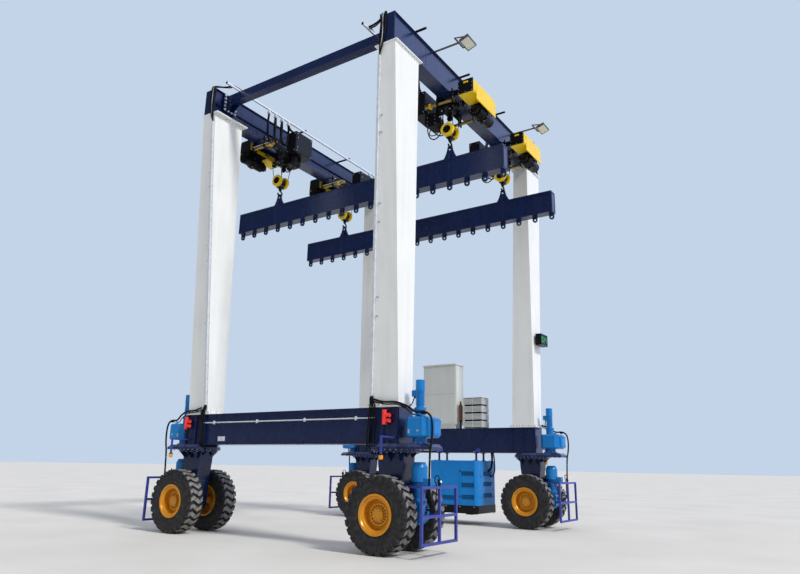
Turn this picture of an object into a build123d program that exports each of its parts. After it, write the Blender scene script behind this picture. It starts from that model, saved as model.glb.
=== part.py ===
from build123d import *
import os

os.makedirs("parts", exist_ok=True)

# Frame of the model, in millimetres: X is the travel direction, Y runs along the two main
# girders, Z is up. The origin is on the ground in the middle of the four wheel groups.
# The end frame at -Y is the near one, the girder at +X the right one.

# Driving dimensions
STEER_X = 3070            # steering axes, in front of and behind the middle
FRAME_Y = 3674            # end frames, either side of the middle
AXLE_Z = 750              # also the distance of the tyre lugs' tops from the axle
TYRE_W = 430
TWIN_HALF = 530           # from the steering axis to the middle of each twin wheel
RIM_R = 370

BEAM_BOTTOM = 2106
BEAM_TOP = 2853
BEAM_HALF_LENGTH = 3290
BEAM_HALF_WIDTH = 300

FOOT_SIZE = (716, 533)    # column section at its foot, X by Y
FOOT_AT = (2916, 3674)
HEAD_SIZE = (470, 1040)   # column section at its head
HEAD_AT = (3101, 3920)
PLATE = 30                # base plates and cap plates

GIRDER_X = 3110
GIRDER_BOTTOM = 11350
GIRDER_TOP = 12120
GIRDER_HALF_LENGTH = 4450
GIRDER_FLANGE = 410
GIRDER_WEB = 310

SPREADER_BOTTOM = 8890
SPREADER_TOP = 9550
SPREADER_HALF_LENGTH = 4700
LUG_PITCH = 515
LUG_COUNT = 19
NEAR_PAIR_Y = -1400       # hook line of the near pair of hoists
FAR_PAIR_Y = 1950         # hook line of the far pair
HOOK_EYE_Z = 9890         # hole that the hook goes through

SHAFT_CLEARANCE = 0.1     # radial, in the axle and slewing bearings


def block(x, y, z):
    """A box from three (low, high) pairs."""
    size = [b - a for a, b in (x, y, z)]
    middle = [(a + b) / 2 for a, b in (x, y, z)]
    return Pos(*middle) * Box(*size)


def upright(x, y, z, radius):
    """A vertical cylinder over the (low, high) height z."""
    return Pos(x, y, (z[0] + z[1]) / 2) * Cylinder(radius, z[1] - z[0])


def along_y(x, y, z, radius):
    """A cylinder along Y over the (low, high) range y."""
    middle = (y[0] + y[1]) / 2
    return Pos(x, middle, z) * Rot(90, 0, 0) * Cylinder(radius, y[1] - y[0])


def along_x(x, y, z, radius):
    """A cylinder along X over the (low, high) range x."""
    middle = (x[0] + x[1]) / 2
    return Pos(middle, y, z) * Rot(0, 90, 0) * Cylinder(radius, x[1] - x[0])


def plate_across_y(points, thickness):
    """A flat plate that stands in the XZ plane, from its (x, z) corners."""
    return extrude(Plane.XZ * Polygon(*points, align=None), thickness / 2, both=True)


def plate_across_x(points, thickness):
    """A flat plate that stands in the YZ plane, from its (y, z) corners."""
    return extrude(Plane.YZ * Polygon(*points, align=None), thickness / 2, both=True)


def four_corners(shape):
    """A shape at +X +Y and its mirror images at the other three corners."""
    front = [shape, mirror(shape, Plane.XZ)]
    return front + [mirror(each, Plane.YZ) for each in front]


def write(node, *solids):
    """Write one node's solids to its file."""
    shape = solids[0] if len(solids) == 1 else Compound(children=list(solids))
    export_step(shape, f"parts/{node}.step")


# Lower beams, with the fixed half of the slewing bearing under each end

RING_R = 480              # moving ring under the turntable plate
SPIGOT_R = 300            # centres the leg in the turntable plate
TURNTABLE_R = 540
TURNTABLE_BOTTOM = 1992
TURNTABLE_ROOF = 14       # closes the bore over the spigot
NOSE_X = 4040             # outer end of the plate, which carries the slewing drive
STIFFENER_X = (2570, 2916, 3262)


def turntable():
    """Thick plate with a bevelled top edge, drawn out to a nose for the slewing drive."""
    nose = NOSE_X - STEER_X
    outline = RegularPolygon(TURNTABLE_R, 12, rotation=15)
    outline += Polygon((0, -440), (560, -440), (nose, -230), (nose, 230), (560, 440), (0, 440),
                       align=None)
    height = BEAM_BOTTOM - TURNTABLE_BOTTOM
    plate = extrude(outline, height)
    plate = chamfer(plate.edges().group_by(Axis.Z)[-1], 60)
    bore = height - TURNTABLE_ROOF
    plate -= upright(0, 0, (0, bore), SPIGOT_R + SHAFT_CLEARANCE)
    return Pos(STEER_X, FRAME_Y, TURNTABLE_BOTTOM) * plate


def lower_beam():
    """Box beam with flanges wider than its webs and stiffeners under the columns."""
    half = BEAM_HALF_WIDTH
    x = (-BEAM_HALF_LENGTH, BEAM_HALF_LENGTH)
    web = (FRAME_Y - half + 40, FRAME_Y + half - 40)
    flange = (FRAME_Y - half, FRAME_Y + half)
    beam = block(x, web, (BEAM_BOTTOM, BEAM_TOP))
    beam += block(x, flange, (BEAM_BOTTOM, BEAM_BOTTOM + 20))
    beam += block(x, flange, (BEAM_TOP - 20, BEAM_TOP))
    for side in (-1, 1):
        for at in STIFFENER_X:
            rib = (side * at - 12, side * at + 12)
            beam += block(rib, (flange[0] + 4, flange[1] - 4), (BEAM_BOTTOM, BEAM_TOP))
    plate = turntable()
    return beam + plate + mirror(plate, Plane.YZ)


def write_lower_beams():
    beam = lower_beam()
    write("lower_beams", beam, mirror(beam, Plane.XZ))


# Columns

FOOT_Z = BEAM_TOP + PLATE
HEAD_Z = GIRDER_BOTTOM - PLATE
BASE_PLATE = ((2470, 3330), (3374, 3974))
CAP_PLATE = ((2750, 3385), (3290, 4450))


def column_body():
    """Box column that changes from a wide foot to a deep, narrow head."""
    foot = Pos(*FOOT_AT, FOOT_Z) * Rectangle(*FOOT_SIZE)
    head = Pos(*HEAD_AT, HEAD_Z) * Rectangle(*HEAD_SIZE)
    return loft([foot, head])


def gussets(centre, turn, out, run, count, rise, reach):
    """A row of triangular plates on one face of a column, which is out from its centre."""
    row = []
    for i in range(count):
        along = run * ((i + 0.5) / count - 0.5)
        plate = plate_across_y([(-50, 0), (reach, 0), (-50, rise)], 14)
        row.append(Pos(*centre) * Rot(0, 0, turn) * Pos(out, along, 0) * plate)
    return row


def column():
    body = column_body()
    base = block(*BASE_PLATE, (BEAM_TOP, FOOT_Z))
    cap = block(*CAP_PLATE, (HEAD_Z, GIRDER_BOTTOM))
    foot = (*FOOT_AT, FOOT_Z)
    head = (*HEAD_AT, HEAD_Z)
    rows = gussets(foot, 0, FOOT_SIZE[0] / 2, FOOT_SIZE[1], 3, 190, 50)
    rows += gussets(foot, 180, FOOT_SIZE[0] / 2, FOOT_SIZE[1], 3, 190, 80)
    rows += gussets(foot, 90, FOOT_SIZE[1] / 2, FOOT_SIZE[0], 4, 190, 30)
    rows += gussets(foot, 270, FOOT_SIZE[1] / 2, FOOT_SIZE[0], 4, 190, 30)
    rows += gussets(head, 0, HEAD_SIZE[0] / 2, HEAD_SIZE[1], 8, -190, 46)
    rows += gussets(head, 180, HEAD_SIZE[0] / 2, HEAD_SIZE[1], 8, -150, 105)
    rows += gussets(head, 270, HEAD_SIZE[1] / 2, HEAD_SIZE[0], 4, -150, 100)
    return body + base + cap + rows


def write_columns():
    write("columns", *four_corners(column()))


# Main girders and tie beams

LEDGE_Z = (11650, 11664)
TIE_Y = (3775, 4025)
TIE_Z = (11810, 12060)


def girder():
    """Box girder. The trolleys run on its bottom flange; a ledge stiffens the inner web."""
    half = GIRDER_HALF_LENGTH
    y = (-half, half)
    web = (GIRDER_X - GIRDER_WEB / 2, GIRDER_X + GIRDER_WEB / 2)
    flange = (GIRDER_X - GIRDER_FLANGE / 2, GIRDER_X + GIRDER_FLANGE / 2)
    body = block(web, y, (GIRDER_BOTTOM, GIRDER_TOP))
    body += block(flange, y, (GIRDER_BOTTOM, GIRDER_BOTTOM + 20))
    body += block(flange, y, (GIRDER_TOP - 16, GIRDER_TOP))
    body += block((flange[0], web[0]), y, LEDGE_Z)
    for end in (-1, 1):
        cap = sorted((end * half, end * (half - 16)))
        body += block(flange, cap, (GIRDER_BOTTOM, GIRDER_TOP))
    return body


def write_girders():
    body = girder()
    write("main_girders", body, mirror(body, Plane.YZ))


def write_tie_beams():
    """Box beams between the girders over the end frames. Their end plates are bolted to the
    girders over two gussets, and packings fill the room between the plates and the webs."""
    reach = GIRDER_X - GIRDER_WEB / 2
    flange = GIRDER_X - GIRDER_FLANGE / 2
    packing = (LEDGE_Z[1], GIRDER_TOP - 16)
    plate_in = flange - 20
    tie = block((-flange, flange), TIE_Y, TIE_Z)
    gusset = plate_across_y([(plate_in, TIE_Z[0] - 230), (plate_in, TIE_Z[0] + 20),
                             (plate_in - 320, TIE_Z[0] + 20)], 16)
    for side in (-1, 1):
        end_plate = sorted((side * flange, side * (flange - 25)))
        tie += block(end_plate, (TIE_Y[0] - 115, TIE_Y[1] + 115), (TIE_Z[0] - 250, 12100))
        tie += block(sorted((side * reach, side * flange)), (3700, 4100), packing)
    for y in (TIE_Y[0] + 20, TIE_Y[1] - 20):
        tie += [Pos(0, y, 0) * gusset, Pos(0, y, 0) * mirror(gusset, Plane.YZ)]
    write("tie_beams", tie, mirror(tie, Plane.XZ))


# Festoon tracks for the hoists' supply cables

BAR_PITCH = 2320
TRACK_X = 2400


def write_festoon_tracks():
    """A slotted rail beside each girder, hung from bars that cross the girder's top."""
    z = GIRDER_TOP
    y = (-4500, 4500)
    past = (-4501, 4501)
    track = block((TRACK_X - 24, TRACK_X + 24), y, (z - 54, z))
    track -= block((TRACK_X - 19, TRACK_X + 19), past, (z - 49, z - 5))
    track -= block((TRACK_X - 8, TRACK_X + 8), past, (z - 55, z - 40))
    write("festoon_tracks", track, mirror(track, Plane.YZ))
    bars = []
    for place in (-1.5, -0.5, 0.5, 1.5):
        y = place * BAR_PITCH
        bar = block((TRACK_X - 30, 3600), (y - 22, y + 22), (z, z + 44))
        bars += [bar, mirror(bar, Plane.YZ)]
    write("festoon_bars", *bars)


# Slewing drives: one on the nose of each turntable plate

DRIVE_X = 3640
CASE_Z = (2235, 2640)


def slewing_gearbox():
    """Eight-sided gear case with a lobe on its outer side, on a round neck."""
    case = Polygon((3540, -320), (3880, -320), (3990, -210), (3990, 210), (3880, 320),
                   (3540, 320), (3430, 210), (3430, -210), align=None)
    case = Pos(0, 0, CASE_Z[0]) * extrude(case, CASE_Z[1] - CASE_Z[0])
    case = chamfer(case.edges().group_by(Axis.Z)[-1], 30)
    case = chamfer(case.edges().group_by(Axis.Z)[0], 30)
    lobe = Polygon((3900, -170), (4020, -170), (4060, -120), (4060, 120), (4020, 170),
                   (3900, 170), align=None)
    case += Pos(0, 0, CASE_Z[0] + 40) * extrude(lobe, 310)
    case += upright(DRIVE_X, 0, (BEAM_BOTTOM, CASE_Z[0]), 150)
    case += upright(DRIVE_X, 0, (BEAM_BOTTOM, BEAM_BOTTOM + 24), 205)
    case += upright(DRIVE_X, 0, (CASE_Z[1], 2790), 105)
    return Pos(0, FRAME_Y, 0) * case


def ribbed_motor(z, radius, depth, count):
    """Upright motor body with cooling rings over the (low, high) height z."""
    body = upright(0, 0, z, radius - depth)
    pitch = (z[1] - z[0]) / count
    for i in range(count):
        low = z[0] + i * pitch
        body += upright(0, 0, (low, low + pitch * 0.45), radius)
    return body


def slewing_motor():
    """Flange motor with cooling rings, a plain fan cowl and a terminal box."""
    motor = upright(0, 0, (2790, 2835), 128) + upright(0, 0, (2835, 2900), 84)
    motor += ribbed_motor((2900, 3190), 97, 13, 7)
    motor += upright(0, 0, (3190, 3390), 98)
    motor += block((-175, -60), (-60, 60), (3070, 3190))
    return Pos(DRIVE_X, FRAME_Y, 0) * motor


def write_slewing_drives():
    write("slewing_gearboxes", *four_corners(slewing_gearbox()))
    write("slewing_motors", *four_corners(slewing_motor()))


# Wheel groups: each has a leg that steers, a gear motor and a pair of twin wheels.
# They are drawn about the steering axis with the drive and the guard towards +X.

LEG_HALF = 200            # half width of the leg, across the travel direction
LEG_TOP = 1940
LEG_FRONT = 250
AXLE_R = 90
GUARD_X = 1030
GUARD_HALF = 690
TUBE = 50
RAIL_Z = (260, 750, 1280)


def guard_frame():
    """Square tube frame in front of the wheels, on four arms from the leg."""
    half = TUBE / 2
    x = (GUARD_X - half, GUARD_X + half)
    frame = block(x, (-GUARD_HALF, GUARD_HALF), (RAIL_Z[0] - half, RAIL_Z[-1] + half))
    outer = GUARD_HALF - TUBE
    for y in ((-outer, -half), (half, outer)):
        for low, high in zip(RAIL_Z, RAIL_Z[1:]):
            frame -= block(x, y, (low + half, high - half))
    for z in RAIL_Z[1:]:
        frame += block((190, 240), (-275, 275), (z - half, z + half))
        for side in (-1, 1):
            y = sorted((side * 235, side * 275))
            frame += block((190, GUARD_X), y, (z - half, z + half))
    return frame


def leg():
    """Leg with its axle bearing, and the moving ring and spigot of the slewing bearing."""
    outline = Polygon((-330, LEG_TOP), (330, LEG_TOP), (315, 1700), (LEG_FRONT, 1250),
                      (LEG_FRONT, 555), (0, 500), (-LEG_FRONT, AXLE_Z), (-LEG_FRONT, 1250),
                      (-315, 1700), align=None)
    outline += Pos(0, AXLE_Z) * Circle(LEG_FRONT)
    body = extrude(Plane.XZ * outline, LEG_HALF, both=True)
    body += along_y(0, (-LEG_HALF - 40, LEG_HALF + 40), AXLE_Z, 160)
    ring_top = TURNTABLE_BOTTOM - 2
    spigot_top = BEAM_BOTTOM - TURNTABLE_ROOF - 12
    body += upright(0, 0, (LEG_TOP, ring_top), RING_R)
    body += upright(0, 0, (ring_top, spigot_top), SPIGOT_R)
    for side in (-1, 1):
        across = [(side * 150, LEG_TOP), (side * 400, LEG_TOP), (side * 150, 1720)]
        for x in (-240, 0, 240):
            body += Pos(x, 0, 0) * plate_across_x(across, 20)
        along = [(side * 280, LEG_TOP), (side * 450, LEG_TOP), (side * 280, 1800)]
        for y in (-120, 120):
            body += Pos(0, y, 0) * plate_across_y(along, 20)
    bore = AXLE_R + SHAFT_CLEARANCE
    body -= along_y(0, (-LEG_HALF - 41, LEG_HALF + 41), AXLE_Z, bore)
    return body + guard_frame()


def wheel_drive():
    """Bevel gear unit on the front of the leg, with a ribbed motor that stands on it."""
    case = Polygon((LEG_FRONT, 570), (620, 570), (720, 670), (720, 900), (640, 1000),
                   (LEG_FRONT, 1000), align=None)
    motor = upright(0, 0, (1000, 1050), 150) + ribbed_motor((1050, 1370), 130, 18, 7)
    motor += upright(0, 0, (1370, 1660), 165)
    motor += Pos(0, 0, 1705) * Cone(165, 120, 90)
    motor += block((100, 290), (-90, 90), (1280, 1440))
    return extrude(Plane.XZ * case, 130, both=True) + Pos(570, 0, 0) * motor


# Tyres: a flat-sided carcass with one side for each lug, and chevron lugs round it

TYRE_LUGS = 20
TREAD_R = 702
SIDE_R = 580              # widest part of the sidewall
SHOULDER = 26             # narrowing of the tread on each side
DISH = 36                 # depth of the sidewall's dish at the bead


def ring_outline(radius):
    """Polygon whose sides are this far from the middle, one side square to +X."""
    return RegularPolygon(radius, TYRE_LUGS, major_radius=False, rotation=180 / TYRE_LUGS)


def ring_cone(low, high):
    """Solid between two ring outlines, each given as (z, radius)."""
    return loft([Pos(0, 0, z) * ring_outline(radius) for z, radius in (low, high)], ruled=True)


def carcass():
    """Tyre body about the Z axis, between z = -TYRE_W / 2 and TYRE_W / 2."""
    half = TYRE_W / 2
    body = Pos(0, 0, SHOULDER - half) * extrude(ring_outline(TREAD_R), TYRE_W - 2 * SHOULDER)
    for side in (-1, 1):
        wall, shoulder, bead = side * half, side * (half - SHOULDER), side * (half - DISH)
        body += ring_cone((shoulder, TREAD_R), (wall, SIDE_R))
        body -= ring_cone((bead, RIM_R), (wall, SIDE_R))
    return body - extrude(ring_outline(RIM_R), half, both=True)


def chevron():
    """One lug at the +X side, across the tread, its flat top AXLE_Z from the axle."""
    half, sweep, thick = TYRE_W / 2 - SHOULDER, 70, 118
    corners = [(-half, -sweep), (0, 0), (half, -sweep), (half, thick - sweep), (0, thick),
               (-half, thick - sweep)]
    outline = Polygon(*[(z, y - thick / 4) for z, y in corners], align=None)
    foot = SIDE_R + 70
    plane = Plane(origin=(foot, 0, 0), x_dir=(0, 0, 1), z_dir=(1, 0, 0))
    return plane * extrude(outline, AXLE_Z - foot)


def tyre():
    """Tyre with its axis along Y and its middle at the origin."""
    body = carcass()
    lug = chevron()
    for i in range(TYRE_LUGS):
        body += Rot(0, 0, i * 360 / TYRE_LUGS) * lug
    return Rot(90, 0, 0) * body


# Rims: half section of one dished wheel, (radius, distance outwards from its middle). A broad
# lock ring leads in from the flange to the deep barrel.

RIM_SECTION = ((60, 20), (60, 118), (112, 118), (130, 100), (130, 60), (210, 60), (232, 36),
               (290, 20), (290, 150), (302, 164), (338, 184), (350, 204), (392, 206),
               (392, 184), (368, 184), (368, -184), (392, -184), (392, -206), (356, -206),
               (348, -196), (348, -40), (290, -4), (225, 10), (195, 34), (130, 34), (130, 20))
HUB_FACE = 116            # outer face of the axle's end in the hub


def axle_and_rims():
    """Live axle with a dished disc wheel on each end."""
    half = TWIN_HALF + HUB_FACE
    axle = along_y(0, (-half, half), 0, AXLE_R)
    wheel = Pos(0, TWIN_HALF, 0) * revolve(Polygon(*RIM_SECTION, align=None), Axis.Y)
    return Pos(0, 0, AXLE_Z) * (axle + wheel + mirror(wheel, Plane.XZ))


# name of the corner, side in X, side in Y
CORNERS = (("near_left", -1, -1), ("near_right", 1, -1), ("far_right", 1, 1), ("far_left", -1, 1))


def write_wheel_groups():
    """Each group stands with its drive and its guard away from the middle of the crane."""
    group = {
        "wheel_leg": leg(),
        "wheel_drive": wheel_drive(),
        "axle_and_rims": axle_and_rims(),
    }
    one = tyre()
    tyres = (Pos(0, -TWIN_HALF, AXLE_Z) * one, Pos(0, TWIN_HALF, AXLE_Z) * one)
    for corner, side_x, side_y in CORNERS:
        turn = 0 if side_x > 0 else 180
        place = Pos(side_x * STEER_X, side_y * FRAME_Y, 0) * Rot(0, 0, turn)
        for name, shape in group.items():
            write(f"{name}_{corner}", place * shape)
        write(f"tyres_{corner}", *[place * each for each in tyres])


# Trolleys with their hoists. A trolley is drawn for the right girder, with x from the girder's
# middle outwards and y from the hook line; on the left girder it is turned half round.

ROLLER_R = 60
TUBE_Z = 11180            # cross tubes under the girder
TUBE_R = 45
TUBE_Y = (-250, 1000)
SIDE_PLATE = (217, 250)   # distance of the side plates from the girder's middle
CABINET_X = (-1010, -645)
CABINET_Z = (11020, 11720)
HOOD_X = (430, 890)
HOOD_TOP = 11600
MACHINE_Z = 10980         # axis of the hoist motor
HOUSING_BOTTOM = 11040
SHEAVE_AT = (120, 215, 10950)   # four guide sheaves, either side of the hook line
SHEAVE_R = 80


def trolley_frame():
    """Side plates with rollers on the bottom flange, joined by two tubes and a crosshead, with
    arms that carry the hoist on one side and a bracket for the cabinet on the other."""
    inner, outer = SIDE_PLATE
    frame = block((-outer, outer), (-60, 60), (11150, 11250))
    web = GIRDER_WEB / 2 + 12
    for x, roller in (((inner, outer), (web, outer)), ((-outer, -inner), (-outer, -web))):
        frame += block(x, (-320, 1070), (11250, 11500))
        for y in TUBE_Y + (0,):
            frame += block(x, (y - 90, y + 90), (11110, 11300))
        for y in (-210, 960):
            frame += along_x(roller, y, GIRDER_BOTTOM + 20.5 + ROLLER_R, ROLLER_R)
    bracket = (CABINET_X[1], CABINET_X[1] + 20)
    for y, left in zip(TUBE_Y, (bracket[1], -700)):
        frame += along_x((left, outer), y, TUBE_Z, TUBE_R)
    frame += block(bracket, (TUBE_Y[0] - 20, TUBE_Y[0] + 160), (11100, 11300))
    for y in (-230, 300, 830):
        frame += block((outer, HOOD_X[0]), (y - 50, y + 50), (11300, 11420))
    return frame


def hoist_cover():
    """Sheet hood outside the girder. A flat underside closes it over the rope drum; beyond
    that it is open, and its outer wall hangs lower as a skirt."""
    inner, outer = HOOD_X
    top = ((inner, HOOD_TOP), (outer - 40, HOOD_TOP), (outer - 12, HOOD_TOP - 40))
    drum_end = top + ((outer - 12, 11250), (outer - 40, 11210), (inner, 11210))
    motor_end = top + ((outer, 11200), (outer, 11050), (outer - 22, 11050), (outer - 22, 11240),
                       (inner, 11240))
    sections = []
    for outline, y in ((drum_end, (-320, -150)), (motor_end, (-150, 1000))):
        sheet = extrude(Plane.XZ * Polygon(*outline, align=None), (y[1] - y[0]) / 2, both=True)
        sections.append(Pos(0, (y[0] + y[1]) / 2, 0) * sheet)
    floor = block((inner, outer - 22), (-150, 290), (11210, 11240))
    return sections[0] + sections[1] + floor


def hoist_motor():
    """Black end panel of the hood, and the hoist motor that hangs on a saddle under it."""
    inner, outer = HOOD_X
    panel = block((inner + 4, outer - 16), (-352, -320), (11214, HOOD_TOP - 4))
    x, z = 660, MACHINE_Z
    motor = along_y(x, (150, 250), z, 112) + along_y(x, (250, 600), z, 150)
    for i in range(5):
        y = 275 + i * 62
        motor += along_y(x, (y, y + 28), z, 168)
    flange = extrude(Plane.XZ * RegularPolygon(204, 8, rotation=22.5), 60, both=True)
    motor += Pos(x, 660, z) * flange
    motor += along_y(x, (720, 1040), z, 158) + along_y(x, (1040, 1100), z, 120)
    motor += block((x - 100, x + 100), (340, 560), (z + 60, 11240))
    return panel, motor


def sheave_housing():
    """Six-sided housing under the crosshead, with a plate that carries four guide sheaves."""
    low = HOUSING_BOTTOM
    outline = ((-130, 11150), (130, 11150), (150, 11110), (100, low), (-100, low), (-150, 11110))
    housing = plate_across_y(outline, 340)
    housing += block((-225, 225), (-245, 245), (low, low + 24))
    across, along, height = SHEAVE_AT
    for x in (-across, across):
        for y in (-along, along):
            housing += along_y(x, (y - 22, y + 22), height, SHEAVE_R)
            housing += block((x - 30, x + 30), (y - 12, y + 12), (height, low))
    return housing


def travel_drive():
    """Gear case with bevelled edges under the inner side plate, and the motor that moves the
    trolley."""
    case = block((-780, -400), (-40, 360), (10720, 11110))
    case = chamfer(case.edges().filter_by(Axis.Y), 80)
    case += block((-450, -SIDE_PLATE[1]), (0, 120), (11050, 11390))
    return case + along_y(-590, (360, 700), 10940, 115)


ROPE_TOP = SHEAVE_AT[2] - SHEAVE_R + 14


def ropes():
    """Four falls that spread from the hook block to the guide sheaves."""
    falls = []
    for x in (-1, 1):
        for y in (-1, 1):
            low = Vector(x * 165, y * 150, 10514)
            high = Vector(x * (SHEAVE_AT[0] + SHEAVE_R - 11), y * SHEAVE_AT[1], ROPE_TOP)
            fall = extrude(Plane(low, z_dir=high - low) * Circle(10), (high - low).length)
            falls.append(fall)
    return falls


def write_trolleys():
    cabinet = block(CABINET_X, (-270, 480), CABINET_Z)
    frame = trolley_frame()
    cover = hoist_cover()
    machine = (*hoist_motor(), sheave_housing(), travel_drive(), cabinet)
    for name, y in (("near", NEAR_PAIR_Y), ("far", FAR_PAIR_Y)):
        places = (Pos(GIRDER_X, y, 0), Pos(-GIRDER_X, y, 0) * Rot(0, 0, 180))
        write(f"trolley_frames_{name}", *[place * frame for place in places])
        write(f"hoist_covers_{name}", *[place * cover for place in places])
        write(f"hoist_machines_{name}", *[place * each for place in places for each in machine])
        write(f"hoist_ropes_{name}", *[place * each for place in places for each in ropes()])


# Spreader beams with the plates that the hooks hold, and load lugs under them

EYE_R = 46
HOOK_BEND_R = 90
HOOK_BAR_R = 24
HOOK_Z = HOOK_EYE_Z + EYE_R - 4 + HOOK_BEND_R - HOOK_BAR_R


def hook_plate():
    """Bell-shaped plate on top of a spreader, with a rib across it."""
    foot, waist, neck = (250, SPREADER_TOP), (148, 9700), (78, HOOK_EYE_Z + 10)
    right = ThreePointArc(foot, waist, neck)
    top = ThreePointArc(neck, (0, HOOK_EYE_Z + 95), (-neck[0], neck[1]))
    left = ThreePointArc((-neck[0], neck[1]), (-waist[0], waist[1]), (-foot[0], foot[1]))
    base = Line((-foot[0], foot[1]), foot)
    plate = extrude(Plane.XZ * make_face(right + top + left + base), 20, both=True)
    plate += plate_across_x([(-120, SPREADER_TOP), (120, SPREADER_TOP), (30, 9770),
                             (-30, 9770)], 24)
    return plate - along_y(0, (-21, 21), HOOK_EYE_Z, EYE_R)


def spreader():
    x = (-SPREADER_HALF_LENGTH, SPREADER_HALF_LENGTH)
    beam = block(x, (-135, 135), (SPREADER_BOTTOM, SPREADER_TOP))
    beam += block(x, (-150, 150), (SPREADER_BOTTOM, SPREADER_BOTTOM + 20))
    beam += block(x, (-150, 150), (SPREADER_TOP - 20, SPREADER_TOP))
    plate = hook_plate()
    for side in (-1, 1):
        end = sorted((side * SPREADER_HALF_LENGTH, side * (SPREADER_HALF_LENGTH - 20)))
        beam += block(end, (-150, 150), (SPREADER_BOTTOM, SPREADER_TOP))
        beam += Pos(side * GIRDER_X, 0, 0) * plate
    return beam


def load_lug():
    outline = Pos(0, -60) * Rectangle(150, 120) + Pos(0, -120) * Circle(75)
    lug = Pos(0, 0, SPREADER_BOTTOM) * extrude(Plane.XZ * outline, 20, both=True)
    return lug - along_y(0, (-21, 21), SPREADER_BOTTOM - 120, 32)


def hook_block():
    """Two sheave covers either side of a yoke, with a forged hook under a swivel."""
    body = along_y(0, (-110, 110), 10400, 120)
    for y in ((-190, -110), (110, 190)):
        body += along_y(0, y, 10400, 190)
    body += block((-70, 70), (-110, 110), (10190, 10400))
    body += upright(0, 0, (10150, 10190), 58)
    body += upright(0, 0, (HOOK_Z + HOOK_BEND_R, 10150), 28)
    bar = Pos(0, 0, HOOK_BEND_R) * (Plane.XZ * Circle(HOOK_BAR_R))
    bend = revolve(bar, Axis.X, 270)
    return body + Pos(0, 0, HOOK_Z) * Rot(90, 0, 0) * bend


def write_spreaders():
    beam = spreader()
    lug = load_lug()
    hook = hook_block()
    middle = (LUG_COUNT - 1) / 2
    for name, y in (("near", NEAR_PAIR_Y), ("far", FAR_PAIR_Y)):
        write(f"spreader_beam_{name}", Pos(0, y, 0) * beam)
        lugs = [Pos((i - middle) * LUG_PITCH, y, 0) * lug for i in range(LUG_COUNT)]
        write(f"load_lugs_{name}", *lugs)
        write(f"hook_blocks_{name}", *[Pos(x, y, 0) * hook for x in (-GIRDER_X, GIRDER_X)])


# Generator set under the far lower beam

GENERATOR_X = (-120, 1530)
GENERATOR_Y = (3030, 4330)
GENERATOR_Z = (560, 1870)
LOUVRE_DEPTH = 24
# middle in X, middle height and width of each louvre group on the long sides
LOUVRES = ((1215, 1485, 410), (1215, 1145, 410), (1215, 800, 410), (575, 770, 430))
END_LOUVRE_Z = (1485, 1175, 845)
HANGER_X = (0, 1320)


def louvre(width):
    """Three slots to be cut into a face in the XZ plane."""
    slots = [block((-width / 2, width / 2), (-LOUVRE_DEPTH, LOUVRE_DEPTH), (z - 15, z + 15))
             for z in (-48, 0, 48)]
    return slots[0] + slots[1] + slots[2]


def generator_housing():
    body = block(GENERATOR_X, GENERATOR_Y, GENERATOR_Z)
    body = fillet(body.edges().filter_by(Axis.Z), 90)
    for x, z, width in LOUVRES:
        for y in GENERATOR_Y:
            body -= Pos(x, y, z) * louvre(width)
    for z in END_LOUVRE_Z:
        middle = (GENERATOR_X[1], 3740, z)
        body -= Pos(*middle) * Rot(0, 0, 90) * louvre(560)
    return body


def generator_base():
    x = (GENERATOR_X[0] - 10, GENERATOR_X[1] + 10)
    y = (GENERATOR_Y[0] - 10, GENERATOR_Y[1] + 10)
    base = block(x, y, (330, GENERATOR_Z[0]))
    base = fillet(base.edges().filter_by(Axis.Z), 90)
    for middle in (180, 1230):
        base += block((middle - 100, middle + 100), (y[0] + 60, y[1] - 60), (300, 330))
    return base


def generator_hangers():
    """Straps from the housing's top to clamp feet under the beam's bottom flange."""
    hangers = []
    for x in HANGER_X:
        for y in (FRAME_Y - 254, FRAME_Y + 254):
            strap = block((x - 30, x + 30), (y - 12, y + 12), (GENERATOR_Z[1], BEAM_BOTTOM))
            for z in ((GENERATOR_Z[1], GENERATOR_Z[1] + 16), (BEAM_BOTTOM - 16, BEAM_BOTTOM)):
                strap += block((x - 60, x + 60), (y - 46, y + 46), z)
            hangers.append(strap)
    return hangers


def write_generator():
    write("generator_housing", generator_housing())
    write("generator_base", generator_base())
    write("generator_hangers", *generator_hangers())


# Control cabinet and braking resistors on the far lower beam

def control_cabinet():
    cabinet = block((-540, 590), (3400, 3880), (BEAM_TOP, 2980))
    cabinet += block((-580, 630), (3380, 3900), (2980, 4900))
    cabinet += block((-610, 660), (3350, 3930), (4900, 4930))
    return cabinet + block((-560, 610), (3400, 3880), (4930, 4950))


def resistor_bank():
    """Four tiers of grids round a narrower core, under a flat lid."""
    bank = block((930, 1520), (3430, 3830), (BEAM_TOP, 3800))
    for i in range(4):
        z = BEAM_TOP + 20 + i * 236
        bank += block((900, 1550), (3400, 3860), (z, z + 212))
    return bank + block((890, 1560), (3390, 3870), (3800, 3815))


def write_cabinets():
    write("control_cabinet", control_cabinet())
    write("resistor_bank", resistor_bank())


# Lamps, horns, beacons and the load display

LAMP_Y = 2540
LAMP_TILT = 20


def floodlight(y):
    """Arm over the girder's top with a fork that holds a flat, tilted lamp."""
    z = GIRDER_TOP
    arm = block((3300, 4030), (y - 18, y + 18), (z, z + 36))
    arm += block((3990, 4030), (y - 238, y + 238), (z, z + 20))
    for side in (-1, 1):
        fork = plate_across_y(((3990, z), (4030, z + 20), (4290, z - 40), (4270, z - 80)), 8)
        arm += Pos(0, y + side * 234, 0) * fork
    return arm + Pos(4260, y, z - 70) * Rot(0, -LAMP_TILT, 0) * Box(270, 462, 60)


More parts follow.
